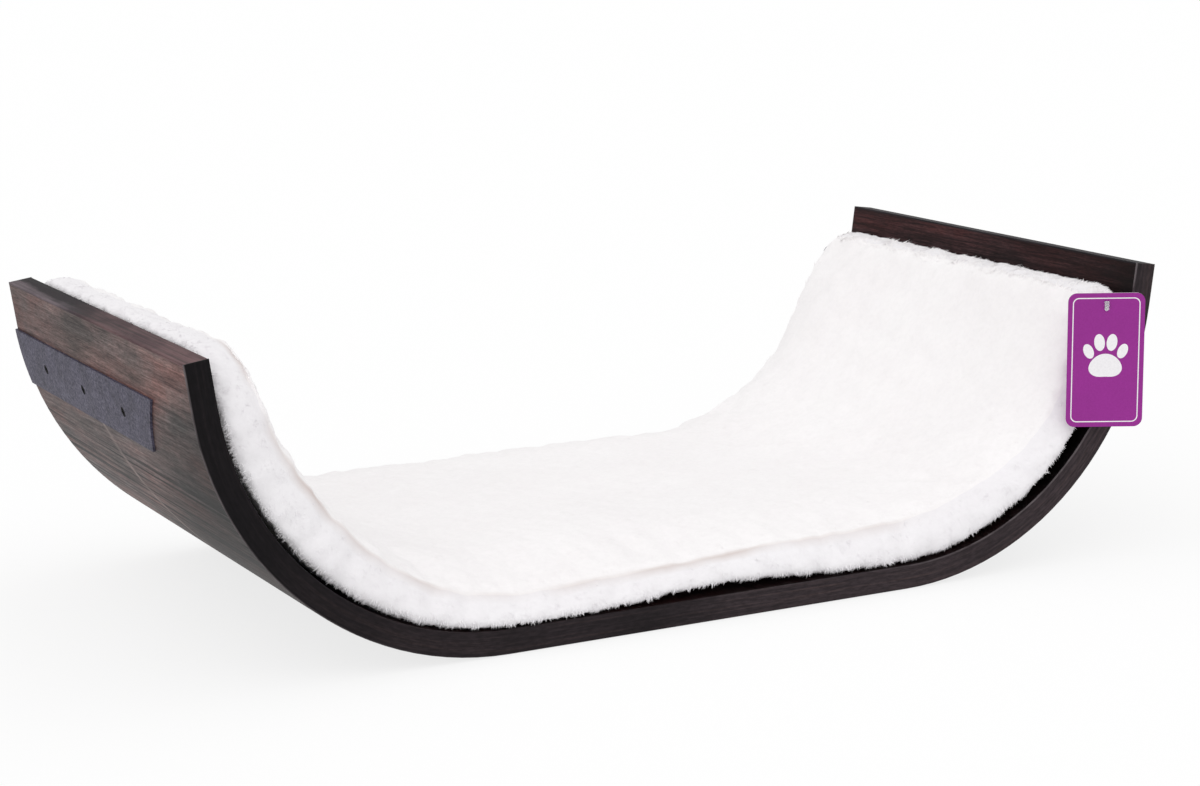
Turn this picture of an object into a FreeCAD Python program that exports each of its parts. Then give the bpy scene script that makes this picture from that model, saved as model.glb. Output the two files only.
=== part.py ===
import FreeCAD, Part
import math
import os
import Sketcher

# Bent-plywood wall lounger for a cat, with a lift-out plush cushion and a hang tag.
# Frame: origin under the middle of the flat floor, +X to the right, -Y to the room, +Z up.
# Sizes are millimetres and degrees.

SIZES = [
    # moulded board
    ("board_width", 700.0),
    ("board_depth", 350.0),
    ("board_thickness", 16.0),
    ("bend_radius", 200.0),
    ("bend_angle", 82.0),
    ("end_straight", 30.0),
    ("edge_band", 1.2),
    ("edge_round", 0.9),
    # wall brackets
    ("steel_thickness", 1.5),
    ("seat_gap", 0.1),
    ("leaf_drop", 3.0),
    ("leaf_height", 39.0),
    ("leaf_reach", 280.0),
    ("leaf_slant", 28.0),
    ("flange_width", 40.0),
    ("flange_corner", 6.0),
    ("bracket_round", 1.6),
    ("wall_hole", 5.5),
    ("wall_hole_inset", 30.0),
    ("wall_hole_pitch", 20.0),
    # bracket screws
    ("screw_shank", 3.5),
    ("screw_head", 6.6),
    ("screw_head_height", 1.3),
    ("screw_length", 15.0),
    ("screw_point", 3.5),
    ("screw_pitch", 80.0),
    ("screw_setback", 55.0),
    ("screw_clearance", 0.1),
    ("recess_length", 3.8),
    ("recess_width", 0.9),
    ("recess_depth", 0.8),
    # hook and loop tape
    ("strip_thickness", 0.9),
    ("strip_gap", 0.3),
    ("tape_glue", 0.9),
    ("strip_width", 25.0),
    ("strip_length", 240.0),
    ("strip_angle", 58.0),
    ("floor_strip_share", 0.64),
    # cushion
    ("front_setback", 8.0),
    ("rear_setback", 4.0),
    ("left_end_gap", 2.0),
    ("right_end_gap", 21.0),
    ("base_thickness", 2.0),
    ("cover_thickness", 3.0),
    ("cover_clearance", 0.2),
    ("gusset_height", 18.0),
    ("gusset_bulge", 2.0),
    ("seam_inset", 1.5),
    ("rim_radius", 8.0),
    ("top_rise", 13.0),
    ("corner_radius", 20.0),
    # hang tag and its pin
    ("tag_width", 52.0),
    ("tag_height", 92.0),
    ("tag_thickness", 0.8),
    ("tag_corner", 6.0),
    ("tag_hole", 2.6),
    ("tag_hole_drop", 11.0),
    ("tag_yaw", 28.0),
    ("tag_rest_gap", 0.15),
    ("pin_diameter", 1.0),
    ("pin_reach", 27.0),
    ("pin_end_drop", 8.0),
    ("pin_seam_drop", 3.0),
    ("pin_bar_depth", 11.0),
    ("pin_bar_length", 9.0),
    ("pin_bar_diameter", 1.4),
    ("pin_paddle_width", 3.0),
    ("pin_paddle_height", 6.0),
    ("pin_paddle_thickness", 1.0),
    ("pin_paddle_gap", 0.5),
]

RIGHT = 1
LEFT = -1
SIDES = {"left": LEFT, "right": RIGHT}
# Lengths and places closer than this count as the same.
SAME = 0.01

doc = FreeCAD.newDocument("bent_plywood_lounger")
sheet = doc.addObject("Spreadsheet::Sheet", "Sizes")
for row, (alias, number) in enumerate(SIZES, start=1):
    sheet.set("A%d" % row, alias)
    sheet.set("B%d" % row, str(number))
    sheet.setAlias("B%d" % row, alias)
doc.recompute()


def value(formula):
    """The number that a formula of sheet sizes gives."""
    result = sheet.evalExpression(formula)
    return float(getattr(result, "Value", result))


# Worked-out sizes, as formulas of the sheet's cells.
BEND_COS = "cos(Sizes.bend_angle * 1 deg)"
BEND_SIN = "sin(Sizes.bend_angle * 1 deg)"
FLAT_HALF = ("(Sizes.board_width / 2 - Sizes.bend_radius * %s - Sizes.end_straight * %s)"
             % (BEND_SIN, BEND_COS))
INNER_RADIUS = "(Sizes.bend_radius - Sizes.board_thickness)"
LEAF_INNER = "(Sizes.bend_radius + Sizes.seat_gap)"
LEAF_OUTER = "(%s + Sizes.steel_thickness)" % LEAF_INNER
LEAF_HIGH = "(Sizes.bend_angle - Sizes.leaf_drop / Sizes.bend_radius * 180 / pi)"
LEAF_LOW = "(%s - Sizes.leaf_height / Sizes.bend_radius * 180 / pi)" % LEAF_HIGH
LEAF_MIDDLE = "((%s + %s) / 2)" % (LEAF_HIGH, LEAF_LOW)
LEAF_REAR = "(Sizes.board_depth / 2 + Sizes.steel_thickness)"
HOLE_REACH = "(%s - Sizes.wall_hole_inset)" % LEAF_OUTER
STRIP_HALF_ANGLE = "(Sizes.strip_width / 2 / %s * 180 / pi)" % INNER_RADIUS
STRIP_LOW = "(Sizes.strip_angle - %s)" % STRIP_HALF_ANGLE
STRIP_HIGH = "(Sizes.strip_angle + %s)" % STRIP_HALF_ANGLE
TAPE_STACK = "(Sizes.tape_glue + 2 * Sizes.strip_thickness + Sizes.strip_gap)"
BASE_BOTTOM = "(Sizes.board_thickness + %s)" % TAPE_STACK
BASE_TOP = "(%s + Sizes.base_thickness)" % BASE_BOTTOM
SEAM = "(%s + Sizes.gusset_height)" % BASE_TOP
APEX = "(%s + Sizes.top_rise)" % SEAM
BASE_HALF = "((Sizes.board_depth - Sizes.front_setback - Sizes.rear_setback) / 2)"
SEAM_HALF = "(%s - Sizes.seam_inset)" % BASE_HALF
CUSHION_SHIFT = "((Sizes.front_setback - Sizes.rear_setback) / 2)"
RIM_HALF = "(%s - Sizes.rim_radius)" % SEAM_HALF
CROWN_RADIUS = ("((%s ^ 2 + Sizes.top_rise ^ 2 - Sizes.rim_radius ^ 2)"
                " / (2 * (Sizes.top_rise - Sizes.rim_radius)))" % RIM_HALF)
FOAM_INSET = "(Sizes.cover_thickness + Sizes.cover_clearance)"
FOAM_HALF = "(%s - %s)" % (SEAM_HALF, FOAM_INSET)
FOAM_BOTTOM = "(%s + Sizes.cover_clearance)" % BASE_TOP
GUSSET_TOP = "(%s - Sizes.cover_clearance)" % SEAM
BULGE_CHORD = "sqrt((%s - %s) ^ 2 + Sizes.seam_inset ^ 2)" % (GUSSET_TOP, FOAM_BOTTOM)
BULGE_RADIUS = ("((%s ^ 2 / 4 + Sizes.gusset_bulge ^ 2) / (2 * Sizes.gusset_bulge))"
                % BULGE_CHORD)
CORNER_RISE = "sqrt(Sizes.corner_radius ^ 2 - (Sizes.corner_radius - Sizes.pin_end_drop) ^ 2)"
PIN_FACE = "(%s + Sizes.gusset_bulge - Sizes.corner_radius + %s)" % (BASE_HALF, CORNER_RISE)


def vector(x, z):
    return FreeCAD.Vector(x, z, 0)


def new_body(label):
    body = doc.addObject("PartDesign::Body", label)
    body.Label = label
    return body


def new_sketch(body, name, plane, offset=None):
    """A sketch on one of the body's origin planes, moved along the plane's normal by a formula."""
    sketch = body.newObject("Sketcher::SketchObject", name)
    support = [item for item in body.Origin.OriginFeatures if item.Role == plane][0]
    sketch.AttachmentSupport = [(support, "")]
    sketch.MapMode = "FlatFace"
    if offset:
        sketch.setExpression("AttachmentOffset.Base.z", offset)
    return sketch


def line(sketch, start, end):
    return sketch.addGeometry(Part.LineSegment(vector(*start), vector(*end)), False)


def arc(sketch, centre, radius, start_degrees, end_degrees):
    circle = Part.Circle(vector(*centre), FreeCAD.Vector(0, 0, 1), radius)
    curve = Part.ArcOfCircle(circle, math.radians(start_degrees), math.radians(end_degrees))
    return sketch.addGeometry(curve, False)


def relate(sketch, kind, *where):
    sketch.addConstraint(Sketcher.Constraint(kind, *where))


def drive(sketch, formula, kind, *where):
    """A dimension of a sketch, tied to the sheet."""
    number = value(formula)
    if kind == "Angle":
        number = math.radians(number)
        formula = "(%s) * 1 deg" % formula
    index = sketch.addConstraint(Sketcher.Constraint(kind, *where, number))
    sketch.setExpression("Constraints[%d]" % index, formula)


def pad(body, name, sketch, length, middle=False):
    feature = body.newObject("PartDesign::Pad", name)
    feature.Profile = sketch
    feature.setExpression("Length", length)
    if middle:
        feature.SideType = "Symmetric"
    return feature


def pocket_through(body, name, sketch):
    feature = body.newObject("PartDesign::Pocket", name)
    feature.Profile = sketch
    feature.Type = "ThroughAll"
    feature.SideType = "Symmetric"
    return feature


def fillet(body, name, base, radius, wanted):
    """Round the edges of a feature that a test picks out."""
    doc.recompute()
    names = ["Edge%d" % index for index, edge in enumerate(base.Shape.Edges, start=1) if wanted(edge)]
    feature = body.newObject("PartDesign::Fillet", name)
    feature.Base = (base, names)
    feature.setExpression("Radius", radius)
    return feature


def rectangle(sketch, half_width, low, high):
    """A rectangle about the sketch's vertical axis, between two heights."""
    half = value(half_width)
    bottom = value(low)
    top = value(high)
    corners = [(-half, bottom), (half, bottom), (half, top), (-half, top)]
    edges = [line(sketch, corners[k], corners[(k + 1) % 4]) for k in range(4)]
    for k in range(4):
        relate(sketch, "Coincident", edges[k], 2, edges[(k + 1) % 4], 1)
    relate(sketch, "Horizontal", edges[2])
    relate(sketch, "Vertical", edges[1])
    relate(sketch, "Vertical", edges[3])
    relate(sketch, "Symmetric", edges[0], 1, edges[0], 2, -2)
    drive(sketch, "2 * %s" % half_width, "DistanceX", edges[0], 1, edges[0], 2)
    if bottom < 0:
        drive(sketch, "-1 * %s" % low, "DistanceY", edges[0], 1, -1, 1)
    else:
        drive(sketch, low, "DistanceY", -1, 1, edges[0], 1)
    drive(sketch, "%s - %s" % (high, low), "DistanceY", edges[1], 1, edges[1], 2)


def on_bend(side, radius, degrees):
    """The point (x, z) at a radius from a bend's centre, the angle counted from straight down."""
    angle = math.radians(degrees)
    x = side * (value(FLAT_HALF) + radius * math.sin(angle))
    return (x, value("Sizes.bend_radius") - radius * math.cos(angle))


def on_inner_face(side, from_end, height):
    """The point (x, z) at a distance from the board's end and a height over its inner face."""
    run = value("Sizes.end_straight") - from_end
    x, z = on_bend(side, value(INNER_RADIUS) - height, value("Sizes.bend_angle"))
    return (x + side * run * value(BEND_COS), z + run * value(BEND_SIN))


# Moulded board and its edge bands

def board_profile(sketch, straight):
    """The right half of the board's side view: floor, bend and straight end."""
    flat = value(FLAT_HALF)
    outer = value("Sizes.bend_radius")
    inner = value(INNER_RADIUS)
    thickness = value("Sizes.board_thickness")
    angle = value("Sizes.bend_angle")
    run = value(straight)
    centre = (flat, outer)
    outer_bend_end = on_bend(RIGHT, outer, angle)
    inner_bend_end = on_bend(RIGHT, inner, angle)
    step = (run * value(BEND_COS), run * value(BEND_SIN))
    outer_end = (outer_bend_end[0] + step[0], outer_bend_end[1] + step[1])
    inner_end = (inner_bend_end[0] + step[0], inner_bend_end[1] + step[1])
    floor = line(sketch, (0, 0), (flat, 0))
    outer_bend = arc(sketch, centre, outer, -90, -90 + angle)
    outer_run = line(sketch, outer_bend_end, outer_end)
    end = line(sketch, outer_end, inner_end)
    inner_run = line(sketch, inner_end, inner_bend_end)
    inner_bend = arc(sketch, centre, inner, -90, -90 + angle)
    inner_floor = line(sketch, (flat, thickness), (0, thickness))
    middle = line(sketch, (0, thickness), (0, 0))
    relate(sketch, "Coincident", floor, 1, -1, 1)
    relate(sketch, "Horizontal", floor)
    relate(sketch, "Tangent", floor, 2, outer_bend, 1)
    relate(sketch, "Tangent", outer_bend, 2, outer_run, 1)
    relate(sketch, "Coincident", outer_run, 2, end, 1)
    relate(sketch, "Perpendicular", outer_run, end)
    relate(sketch, "Coincident", end, 2, inner_run, 1)
    relate(sketch, "Parallel", outer_run, inner_run)
    relate(sketch, "Tangent", inner_run, 2, inner_bend, 2)
    relate(sketch, "Tangent", inner_bend, 1, inner_floor, 1)
    relate(sketch, "Horizontal", inner_floor)
    relate(sketch, "Coincident", inner_floor, 2, middle, 1)
    relate(sketch, "Coincident", middle, 2, floor, 1)
    relate(sketch, "Vertical", middle)
    relate(sketch, "Coincident", outer_bend, 3, inner_bend, 3)
    drive(sketch, FLAT_HALF, "DistanceX", floor, 1, floor, 2)
    drive(sketch, "Sizes.bend_radius", "Radius", outer_bend)
    drive(sketch, "Sizes.board_thickness", "DistanceY", middle, 2, middle, 1)
    drive(sketch, straight, "Distance", outer_run)
    drive(sketch, "Sizes.bend_angle", "Angle", outer_run)


def mirror_halves(body, name, feature):
    """The left half of a symmetric piece, from its right half."""
    doc.recompute()
    mirrored = body.newObject("PartDesign::Mirrored", name)
    plane = [item for item in body.Origin.OriginFeatures if item.Role == "YZ_Plane"][0]
    mirrored.Originals = [feature]
    mirrored.MirrorPlane = (plane, [""])
    body.Tip = mirrored
    return mirrored


def make_board():
    body = new_body("plywood_board")
    sketch = new_sketch(body, "board_side", "XZ_Plane")
    board_profile(sketch, "Sizes.end_straight - Sizes.edge_band")
    board = pad(body, "board_pad", sketch, "Sizes.board_depth - 2 * Sizes.edge_band", middle=True)
    mirror_halves(body, "board_whole", board)
    return body


def make_long_band(label, offset, room_side):
    """The band on the front or rear edge, its outer arrises rounded."""
    body = new_body(label)
    sketch = new_sketch(body, label + "_side", "XZ_Plane", offset)
    board_profile(sketch, "Sizes.end_straight")
    band = pad(body, label + "_pad", sketch, "Sizes.edge_band")
    whole = mirror_halves(body, label + "_whole", band)
    face = room_side * value("Sizes.board_depth") / 2

    def on_face(edge):
        box = edge.BoundBox
        return abs(box.YMin - face) < SAME and abs(box.YMax - face) < SAME

    body.Tip = fillet(body, label + "_arris", whole, "Sizes.edge_round", on_face)
    return body


def make_end_band(label, side):
    """The band on an end face, its two long arrises rounded."""
    strip = doc.addObject("Part::Box", label + "_strip")
    strip.setExpression("Length", "Sizes.board_thickness")
    strip.setExpression("Width", "Sizes.board_depth - 2 * Sizes.edge_band")
    strip.setExpression("Height", "Sizes.edge_band")
    height = 0 if side == RIGHT else -value("Sizes.board_thickness")
    x, z = on_inner_face(side, value("Sizes.edge_band"), height)
    turn = FreeCAD.Rotation(FreeCAD.Vector(0, 1, 0), side * (90 - value("Sizes.bend_angle")))
    front = -value("Sizes.board_depth") / 2 + value("Sizes.edge_band")
    strip.Placement = FreeCAD.Placement(FreeCAD.Vector(x, front, z), turn)
    doc.recompute()
    rounded = doc.addObject("Part::Fillet", label)
    rounded.Base = strip
    radius = value("Sizes.edge_round")
    width = value("Sizes.board_depth") - 2 * value("Sizes.edge_band")
    long_edges = []
    local = strip.Shape.copy()
    local.Placement = FreeCAD.Placement()
    for index, edge in enumerate(local.Edges, start=1):
        lies_on_top = edge.BoundBox.ZMin > value("Sizes.edge_band") / 2
        if abs(edge.Length - width) < SAME and lies_on_top:
            long_edges.append((index, radius, radius))
    rounded.Edges = long_edges
    return rounded


# Wall brackets and their screws

def sector_profile(sketch, side, inner, outer, low, high):
    """A strip that follows a bend, between two radii and two angles from straight down."""
    first, last = (low, high) if side == RIGHT else (high, low)
    start_formula = "(-90 + %d * %s)" % (side, first)
    end_formula = "(-90 + %d * %s)" % (side, last)
    start = value(start_formula)
    end = value(end_formula)
    centre = (side * value(FLAT_HALF), value("Sizes.bend_radius"))

    def polar(radius, degrees):
        angle = math.radians(degrees)
        return (centre[0] + radius * math.cos(angle), centre[1] + radius * math.sin(angle))

    outer_arc = arc(sketch, centre, value(outer), start, end)
    inner_arc = arc(sketch, centre, value(inner), start, end)
    start_line = line(sketch, polar(value(inner), start), polar(value(outer), start))
    end_line = line(sketch, polar(value(inner), end), polar(value(outer), end))
    relate(sketch, "Coincident", start_line, 1, inner_arc, 1)
    relate(sketch, "Coincident", start_line, 2, outer_arc, 1)
    relate(sketch, "Coincident", end_line, 1, inner_arc, 2)
    relate(sketch, "Coincident", end_line, 2, outer_arc, 2)
    relate(sketch, "Coincident", outer_arc, 3, inner_arc, 3)
    relate(sketch, "PointOnObject", outer_arc, 3, start_line)
    relate(sketch, "PointOnObject", outer_arc, 3, end_line)
    if side == RIGHT:
        drive(sketch, FLAT_HALF, "DistanceX", -1, 1, outer_arc, 3)
    else:
        drive(sketch, FLAT_HALF, "DistanceX", outer_arc, 3, -1, 1)
    drive(sketch, "Sizes.bend_radius", "DistanceY", -1, 1, outer_arc, 3)
    drive(sketch, outer, "Radius", outer_arc)
    drive(sketch, inner, "Radius", inner_arc)
    drive(sketch, start_formula, "Angle", start_line)
    drive(sketch, end_formula, "Angle", end_line)


def slant_profile(sketch):
    """The corner cut off the leaf's front end, seen from the side."""
    leaf_front = "(%s - Sizes.leaf_reach - Sizes.steel_thickness)" % LEAF_REAR
    top = "(Sizes.bend_radius - %s * cos(%s * 1 deg))" % (LEAF_INNER, LEAF_HIGH)
    bottom = "(Sizes.bend_radius - %s * cos(%s * 1 deg))" % (LEAF_OUTER, LEAF_LOW)
    beyond = "Sizes.steel_thickness"
    y_front = value(leaf_front)
    z_top = value(top)
    z_bottom = value(bottom)
    past = value(beyond)
    slant = value("Sizes.leaf_slant")
    points = [(y_front, z_top), (y_front + slant, z_bottom), (y_front + slant, z_bottom - past),
              (y_front - past, z_bottom - past), (y_front - past, z_top)]
    count = len(points)
    edges = [line(sketch, points[k], points[(k + 1) % count]) for k in range(count)]
    for k in range(count):
        relate(sketch, "Coincident", edges[k], 2, edges[(k + 1) % count], 1)
    relate(sketch, "Vertical", edges[1])
    relate(sketch, "Horizontal", edges[2])
    relate(sketch, "Vertical", edges[3])
    relate(sketch, "Horizontal", edges[4])
    drive(sketch, "-1 * %s" % leaf_front, "DistanceX", edges[0], 1, -1, 1)
    drive(sketch, top, "DistanceY", -1, 1, edges[0], 1)
    drive(sketch, "Sizes.leaf_slant", "DistanceX", edges[0], 1, edges[0], 2)
    drive(sketch, bottom, "DistanceY", -1, 1, edges[0], 2)
    drive(sketch, beyond, "DistanceY", edges[1], 2, edges[1], 1)
    drive(sketch, beyond, "DistanceX", edges[4], 1, edges[4], 2)


def wall_hole_places(side):
    """The two wall-screw holes (x, z) of a flange, one above the other."""
    x, z = on_bend(side, value(HOLE_REACH), value(LEAF_MIDDLE))
    half_pitch = value("Sizes.wall_hole_pitch") / 2
    return [(x, z - half_pitch), (x, z + half_pitch)]


def make_bracket(label, side):
    body = new_body(label + "_blank")
    rear = "-1 * %s" % LEAF_REAR
    leaf_sketch = new_sketch(body, label + "_leaf_side", "XZ_Plane", rear)
    sector_profile(leaf_sketch, side, LEAF_INNER, LEAF_OUTER, LEAF_LOW, LEAF_HIGH)
    pad(body, label + "_leaf", leaf_sketch, "Sizes.leaf_reach + Sizes.steel_thickness")
    flange_sketch = new_sketch(body, label + "_flange_side", "XZ_Plane", rear)
    flange_inner = "(%s - Sizes.flange_width)" % LEAF_OUTER
    sector_profile(flange_sketch, side, flange_inner, LEAF_OUTER, LEAF_LOW, LEAF_HIGH)
    flange = pad(body, label + "_flange", flange_sketch, "Sizes.steel_thickness")
    inner_radius = value(flange_inner)
    centre_x = side * value(FLAT_HALF)
    centre_z = value("Sizes.bend_radius")
    wall_face = value(LEAF_REAR)

    def reach(point):
        return math.hypot(point.x - centre_x, point.z - centre_z)

    def flange_corner(edge):
        runs_deep = edge.BoundBox.YLength > SAME
        return runs_deep and abs(reach(edge.BoundBox.Center) - inner_radius) < SAME

    def bent_edge(edge):
        on_wall = edge.BoundBox.YMin > wall_face - SAME
        nearest = min(reach(vertex.Point) for vertex in edge.Vertexes)
        return on_wall and nearest > value(LEAF_OUTER) - SAME

    corners = fillet(body, label + "_corners", flange, "Sizes.flange_corner", flange_corner)
    fillet(body, label + "_bend", corners, "Sizes.bracket_round", bent_edge)
    slant_sketch = new_sketch(body, label + "_slant_side", "YZ_Plane")
    slant_profile(slant_sketch)
    pocket_through(body, label + "_slant", slant_sketch)
    hole_sketch = new_sketch(body, label + "_hole_places", "XZ_Plane", rear)
    middle_x = "(%s + %s * sin(%s * 1 deg))" % (FLAT_HALF, HOLE_REACH, LEAF_MIDDLE)
    middle_z = "(Sizes.bend_radius - %s * cos(%s * 1 deg))" % (HOLE_REACH, LEAF_MIDDLE)
    for sign, (x, z) in zip((-1, 1), wall_hole_places(side)):
        hole_z = "%s + %d * Sizes.wall_hole_pitch / 2" % (middle_z, sign)
        circle = Part.Circle(vector(x, z), FreeCAD.Vector(0, 0, 1), value("Sizes.wall_hole") / 2)
        hole = hole_sketch.addGeometry(circle, False)
        if side == RIGHT:
            drive(hole_sketch, middle_x, "DistanceX", -1, 1, hole, 3)
        else:
            drive(hole_sketch, middle_x, "DistanceX", hole, 3, -1, 1)
        drive(hole_sketch, hole_z, "DistanceY", -1, 1, hole, 3)
        drive(hole_sketch, "Sizes.wall_hole", "Diameter", hole)
    pocket_through(body, label + "_holes", hole_sketch)
    return body


def screw_placements(side):
    """The three screw heads on a leaf, flush with its outer face, each axis square to the face."""
    degrees = value(LEAF_MIDDLE)
    x, z = on_bend(side, value(LEAF_OUTER), degrees)
    turn = FreeCAD.Rotation(FreeCAD.Vector(0, 1, 0), side * (180 - degrees))
    first = value("Sizes.board_depth / 2 - Sizes.screw_setback")
    pitch = value("Sizes.screw_pitch")
    return [FreeCAD.Placement(FreeCAD.Vector(x, first - k * pitch, z), turn) for k in range(3)]


def screw_profile(sketch):
    """Half of a countersunk wood screw: flush head, cone, shank and point."""
    head = value("Sizes.screw_head") / 2
    shank = value("Sizes.screw_shank") / 2
    cone = value("Sizes.screw_head_height")
    length = value("Sizes.screw_length")
    point = value("Sizes.screw_point")
    points = [(0, 0), (head, 0), (shank, -cone), (shank, point - length), (0, -length)]
    count = len(points)
    edges = [line(sketch, points[k], points[(k + 1) % count]) for k in range(count)]
    for k in range(count):
        relate(sketch, "Coincident", edges[k], 2, edges[(k + 1) % count], 1)
    relate(sketch, "Coincident", edges[0], 1, -1, 1)
    relate(sketch, "Horizontal", edges[0])
    relate(sketch, "Vertical", edges[2])
    relate(sketch, "Vertical", edges[4])
    drive(sketch, "Sizes.screw_head / 2", "DistanceX", edges[0], 1, edges[0], 2)
    drive(sketch, "Sizes.screw_shank / 2", "DistanceX", edges[0], 1, edges[1], 2)
    drive(sketch, "Sizes.screw_head_height", "DistanceY", edges[1], 2, edges[1], 1)
    drive(sketch, "Sizes.screw_length", "DistanceY", edges[4], 1, edges[4], 2)
    drive(sketch, "Sizes.screw_point", "DistanceY", edges[3], 2, edges[3], 1)


def make_screw(label, placement):
    body = new_body(label)
    sketch = new_sketch(body, label + "_half", "XZ_Plane")
    screw_profile(sketch)
    turned = body.newObject("PartDesign::Revolution", label + "_turned")
    turned.Profile = sketch
    turned.ReferenceAxis = (sketch, ["V_Axis"])
    turned.Angle = 360
    for name, width, length in (("slot", "recess_length", "recess_width"),
                                ("cross", "recess_width", "recess_length")):
        recess = new_sketch(body, "%s_%s_side" % (label, name), "XY_Plane")
        half_length = "(Sizes.%s / 2)" % length
        rectangle(recess, "(Sizes.%s / 2)" % width, "(-1 * %s)" % half_length, half_length)
        cut = body.newObject("PartDesign::Pocket", "%s_%s" % (label, name))
        cut.Profile = recess
        cut.setExpression("Length", "Sizes.recess_depth")
    body.Placement = placement
    return body


def make_screw_hole(label, placement):
    """The countersunk hole that a screw passes through and bites into."""
    cone = doc.addObject("Part::Cone", label + "_cone")
    cone.setExpression("Radius1", "Sizes.screw_shank / 2 + Sizes.screw_clearance")
    cone.setExpression("Radius2", "Sizes.screw_head / 2 + Sizes.screw_clearance")
    cone.setExpression("Height", "Sizes.screw_head_height")
    cone.Placement = placement * FreeCAD.Placement(
        FreeCAD.Vector(0, 0, -value("Sizes.screw_head_height")), FreeCAD.Rotation())
    shank = doc.addObject("Part::Cylinder", label + "_shank")
    shank.setExpression("Radius", "Sizes.screw_shank / 2 + Sizes.screw_clearance")
    shank.setExpression("Height", "Sizes.screw_length + Sizes.screw_clearance")
    shank.Placement = placement * FreeCAD.Placement(
        FreeCAD.Vector(0, 0, -value("Sizes.screw_length + Sizes.screw_clearance")), FreeCAD.Rotation())
    return [cone, shank]


def cut_away(label, base, tools):
    """A piece less one or more tools."""
    tool = tools[0]
    if len(tools) > 1:
        tool = doc.addObject("Part::MultiFuse", label + "_tools")
        tool.Shapes = tools
    result = doc.addObject("Part::Cut", label)
    result.Base = base
    result.Tool = tool
    result.Label = label
    return result


def group(label, members):
    """Separate solids that share one node."""
    result = doc.addObject("Part::Compound", label)
    result.Links = members
    result.Label = label
    return result


# Hook and loop tape

def make_bend_strip(label, side, inner, outer):
    body = new_body(label)
    sketch = new_sketch(body, label + "_side", "XZ_Plane")
    sector_profile(sketch, side, inner, outer, STRIP_LOW, STRIP_HIGH)
    pad(body, label + "_pad", sketch, "Sizes.strip_length", middle=True)
    return body


def make_floor_strip(label, side, bottom):
    strip = doc.addObject("Part::Box", label)
    strip.setExpression("Length", "Sizes.strip_width")
    strip.setExpression("Width", "Sizes.strip_length")
    strip.setExpression("Height", "Sizes.strip_thickness")
    middle = side * value("%s * Sizes.floor_strip_share" % FLAT_HALF)
    x = middle - value("Sizes.strip_width") / 2
    strip.Placement.Base = FreeCAD.Vector(x, -value("Sizes.strip_length") / 2, value(bottom))
    return strip


# Cushion

def make_spine(body, name, side, straight):
    """Half of the line along the board's inner face, from its middle towards one end."""
    sketch = new_sketch(body, name, "XZ_Plane")
    flat = value(FLAT_HALF)
    thickness = value("Sizes.board_thickness")
    radius = value(INNER_RADIUS)
    angle = value("Sizes.bend_angle")
    bend_end = on_bend(side, radius, angle)
    run = value(straight)
    end = (bend_end[0] + side * run * value(BEND_COS), bend_end[1] + run * value(BEND_SIN))
    floor = line(sketch, (0, thickness), (side * flat, thickness))
    centre = (side * flat, value("Sizes.bend_radius"))
    if side == RIGHT:
        bend = arc(sketch, centre, radius, -90, -90 + angle)
        bend_first, bend_last = 1, 2
        heading = "Sizes.bend_angle"
        drive(sketch, FLAT_HALF, "DistanceX", floor, 1, floor, 2)
    else:
        bend = arc(sketch, centre, radius, -90 - angle, -90)
        bend_first, bend_last = 2, 1
        heading = "(180 - Sizes.bend_angle)"
        drive(sketch, FLAT_HALF, "DistanceX", floor, 2, floor, 1)
    upright = line(sketch, bend_end, end)
    relate(sketch, "PointOnObject", floor, 1, -2)
    relate(sketch, "Horizontal", floor)
    relate(sketch, "Tangent", floor, 2, bend, bend_first)
    relate(sketch, "Tangent", bend, bend_last, upright, 1)
    drive(sketch, "Sizes.board_thickness", "DistanceY", -1, 1, floor, 1)
    drive(sketch, INNER_RADIUS, "Radius", bend)
    drive(sketch, heading, "Angle", upright)
    drive(sketch, straight, "Distance", upright)
    return sketch


def sweep(body, label, section, trim):
    """The section carried along the inner face both ways, stopping short of the cushion's ends."""
    pipes = []
    for name, side in SIDES.items():
        straight = "(Sizes.end_straight - Sizes.%s_end_gap - %s)" % (name, trim)
        spine = make_spine(body, "%s_%s_spine" % (label, name), side, straight)
        pipe = body.newObject("PartDesign::AdditivePipe", "%s_%s_pipe" % (label, name))
        pipe.Profile = section
        pipe.Spine = (spine, ["Edge1", "Edge2", "Edge3"])
        pipes.append(pipe)
    return pipes[-1]


def crown_profile(sketch, inset):
    """The rounded front and rear rims and the shallow crown between them, as (rear, crown, front)."""
    rim = value("Sizes.rim_radius - %s" % inset)
    crown = value("%s - %s" % (CROWN_RADIUS, inset))
    half = value(RIM_HALF)
    seam = value(SEAM)
    tilt = math.degrees(math.asin(half / value("%s - Sizes.rim_radius" % CROWN_RADIUS)))
    crown_centre = (0, value("%s - %s" % (APEX, CROWN_RADIUS)))
    rear = arc(sketch, (half, seam), rim, 0, 90 - tilt)
    top = arc(sketch, crown_centre, crown, 90 - tilt, 90 + tilt)
    front = arc(sketch, (-half, seam), rim, 90 + tilt, 180)
    relate(sketch, "Tangent", rear, 2, top, 1)
    relate(sketch, "Tangent", top, 2, front, 1)
    return rear, top, front


def place_crown(sketch, arcs, inset):
    """Set the height, width and roundness of a crown."""
    rear, top, front = arcs
    relate(sketch, "Horizontal", rear, 1, rear, 3)
    relate(sketch, "Horizontal", front, 2, front, 3)
    relate(sketch, "Symmetric", front, 2, rear, 1, -2)
    relate(sketch, "Equal", rear, front)
    drive(sketch, SEAM, "DistanceY", -1, 1, rear, 1)
    drive(sketch, "2 * (%s - %s)" % (SEAM_HALF, inset), "DistanceX", front, 2, rear, 1)
    drive(sketch, "Sizes.rim_radius - %s" % inset, "Radius", rear)
    drive(sketch, "%s - %s" % (CROWN_RADIUS, inset), "Radius", top)


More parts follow.
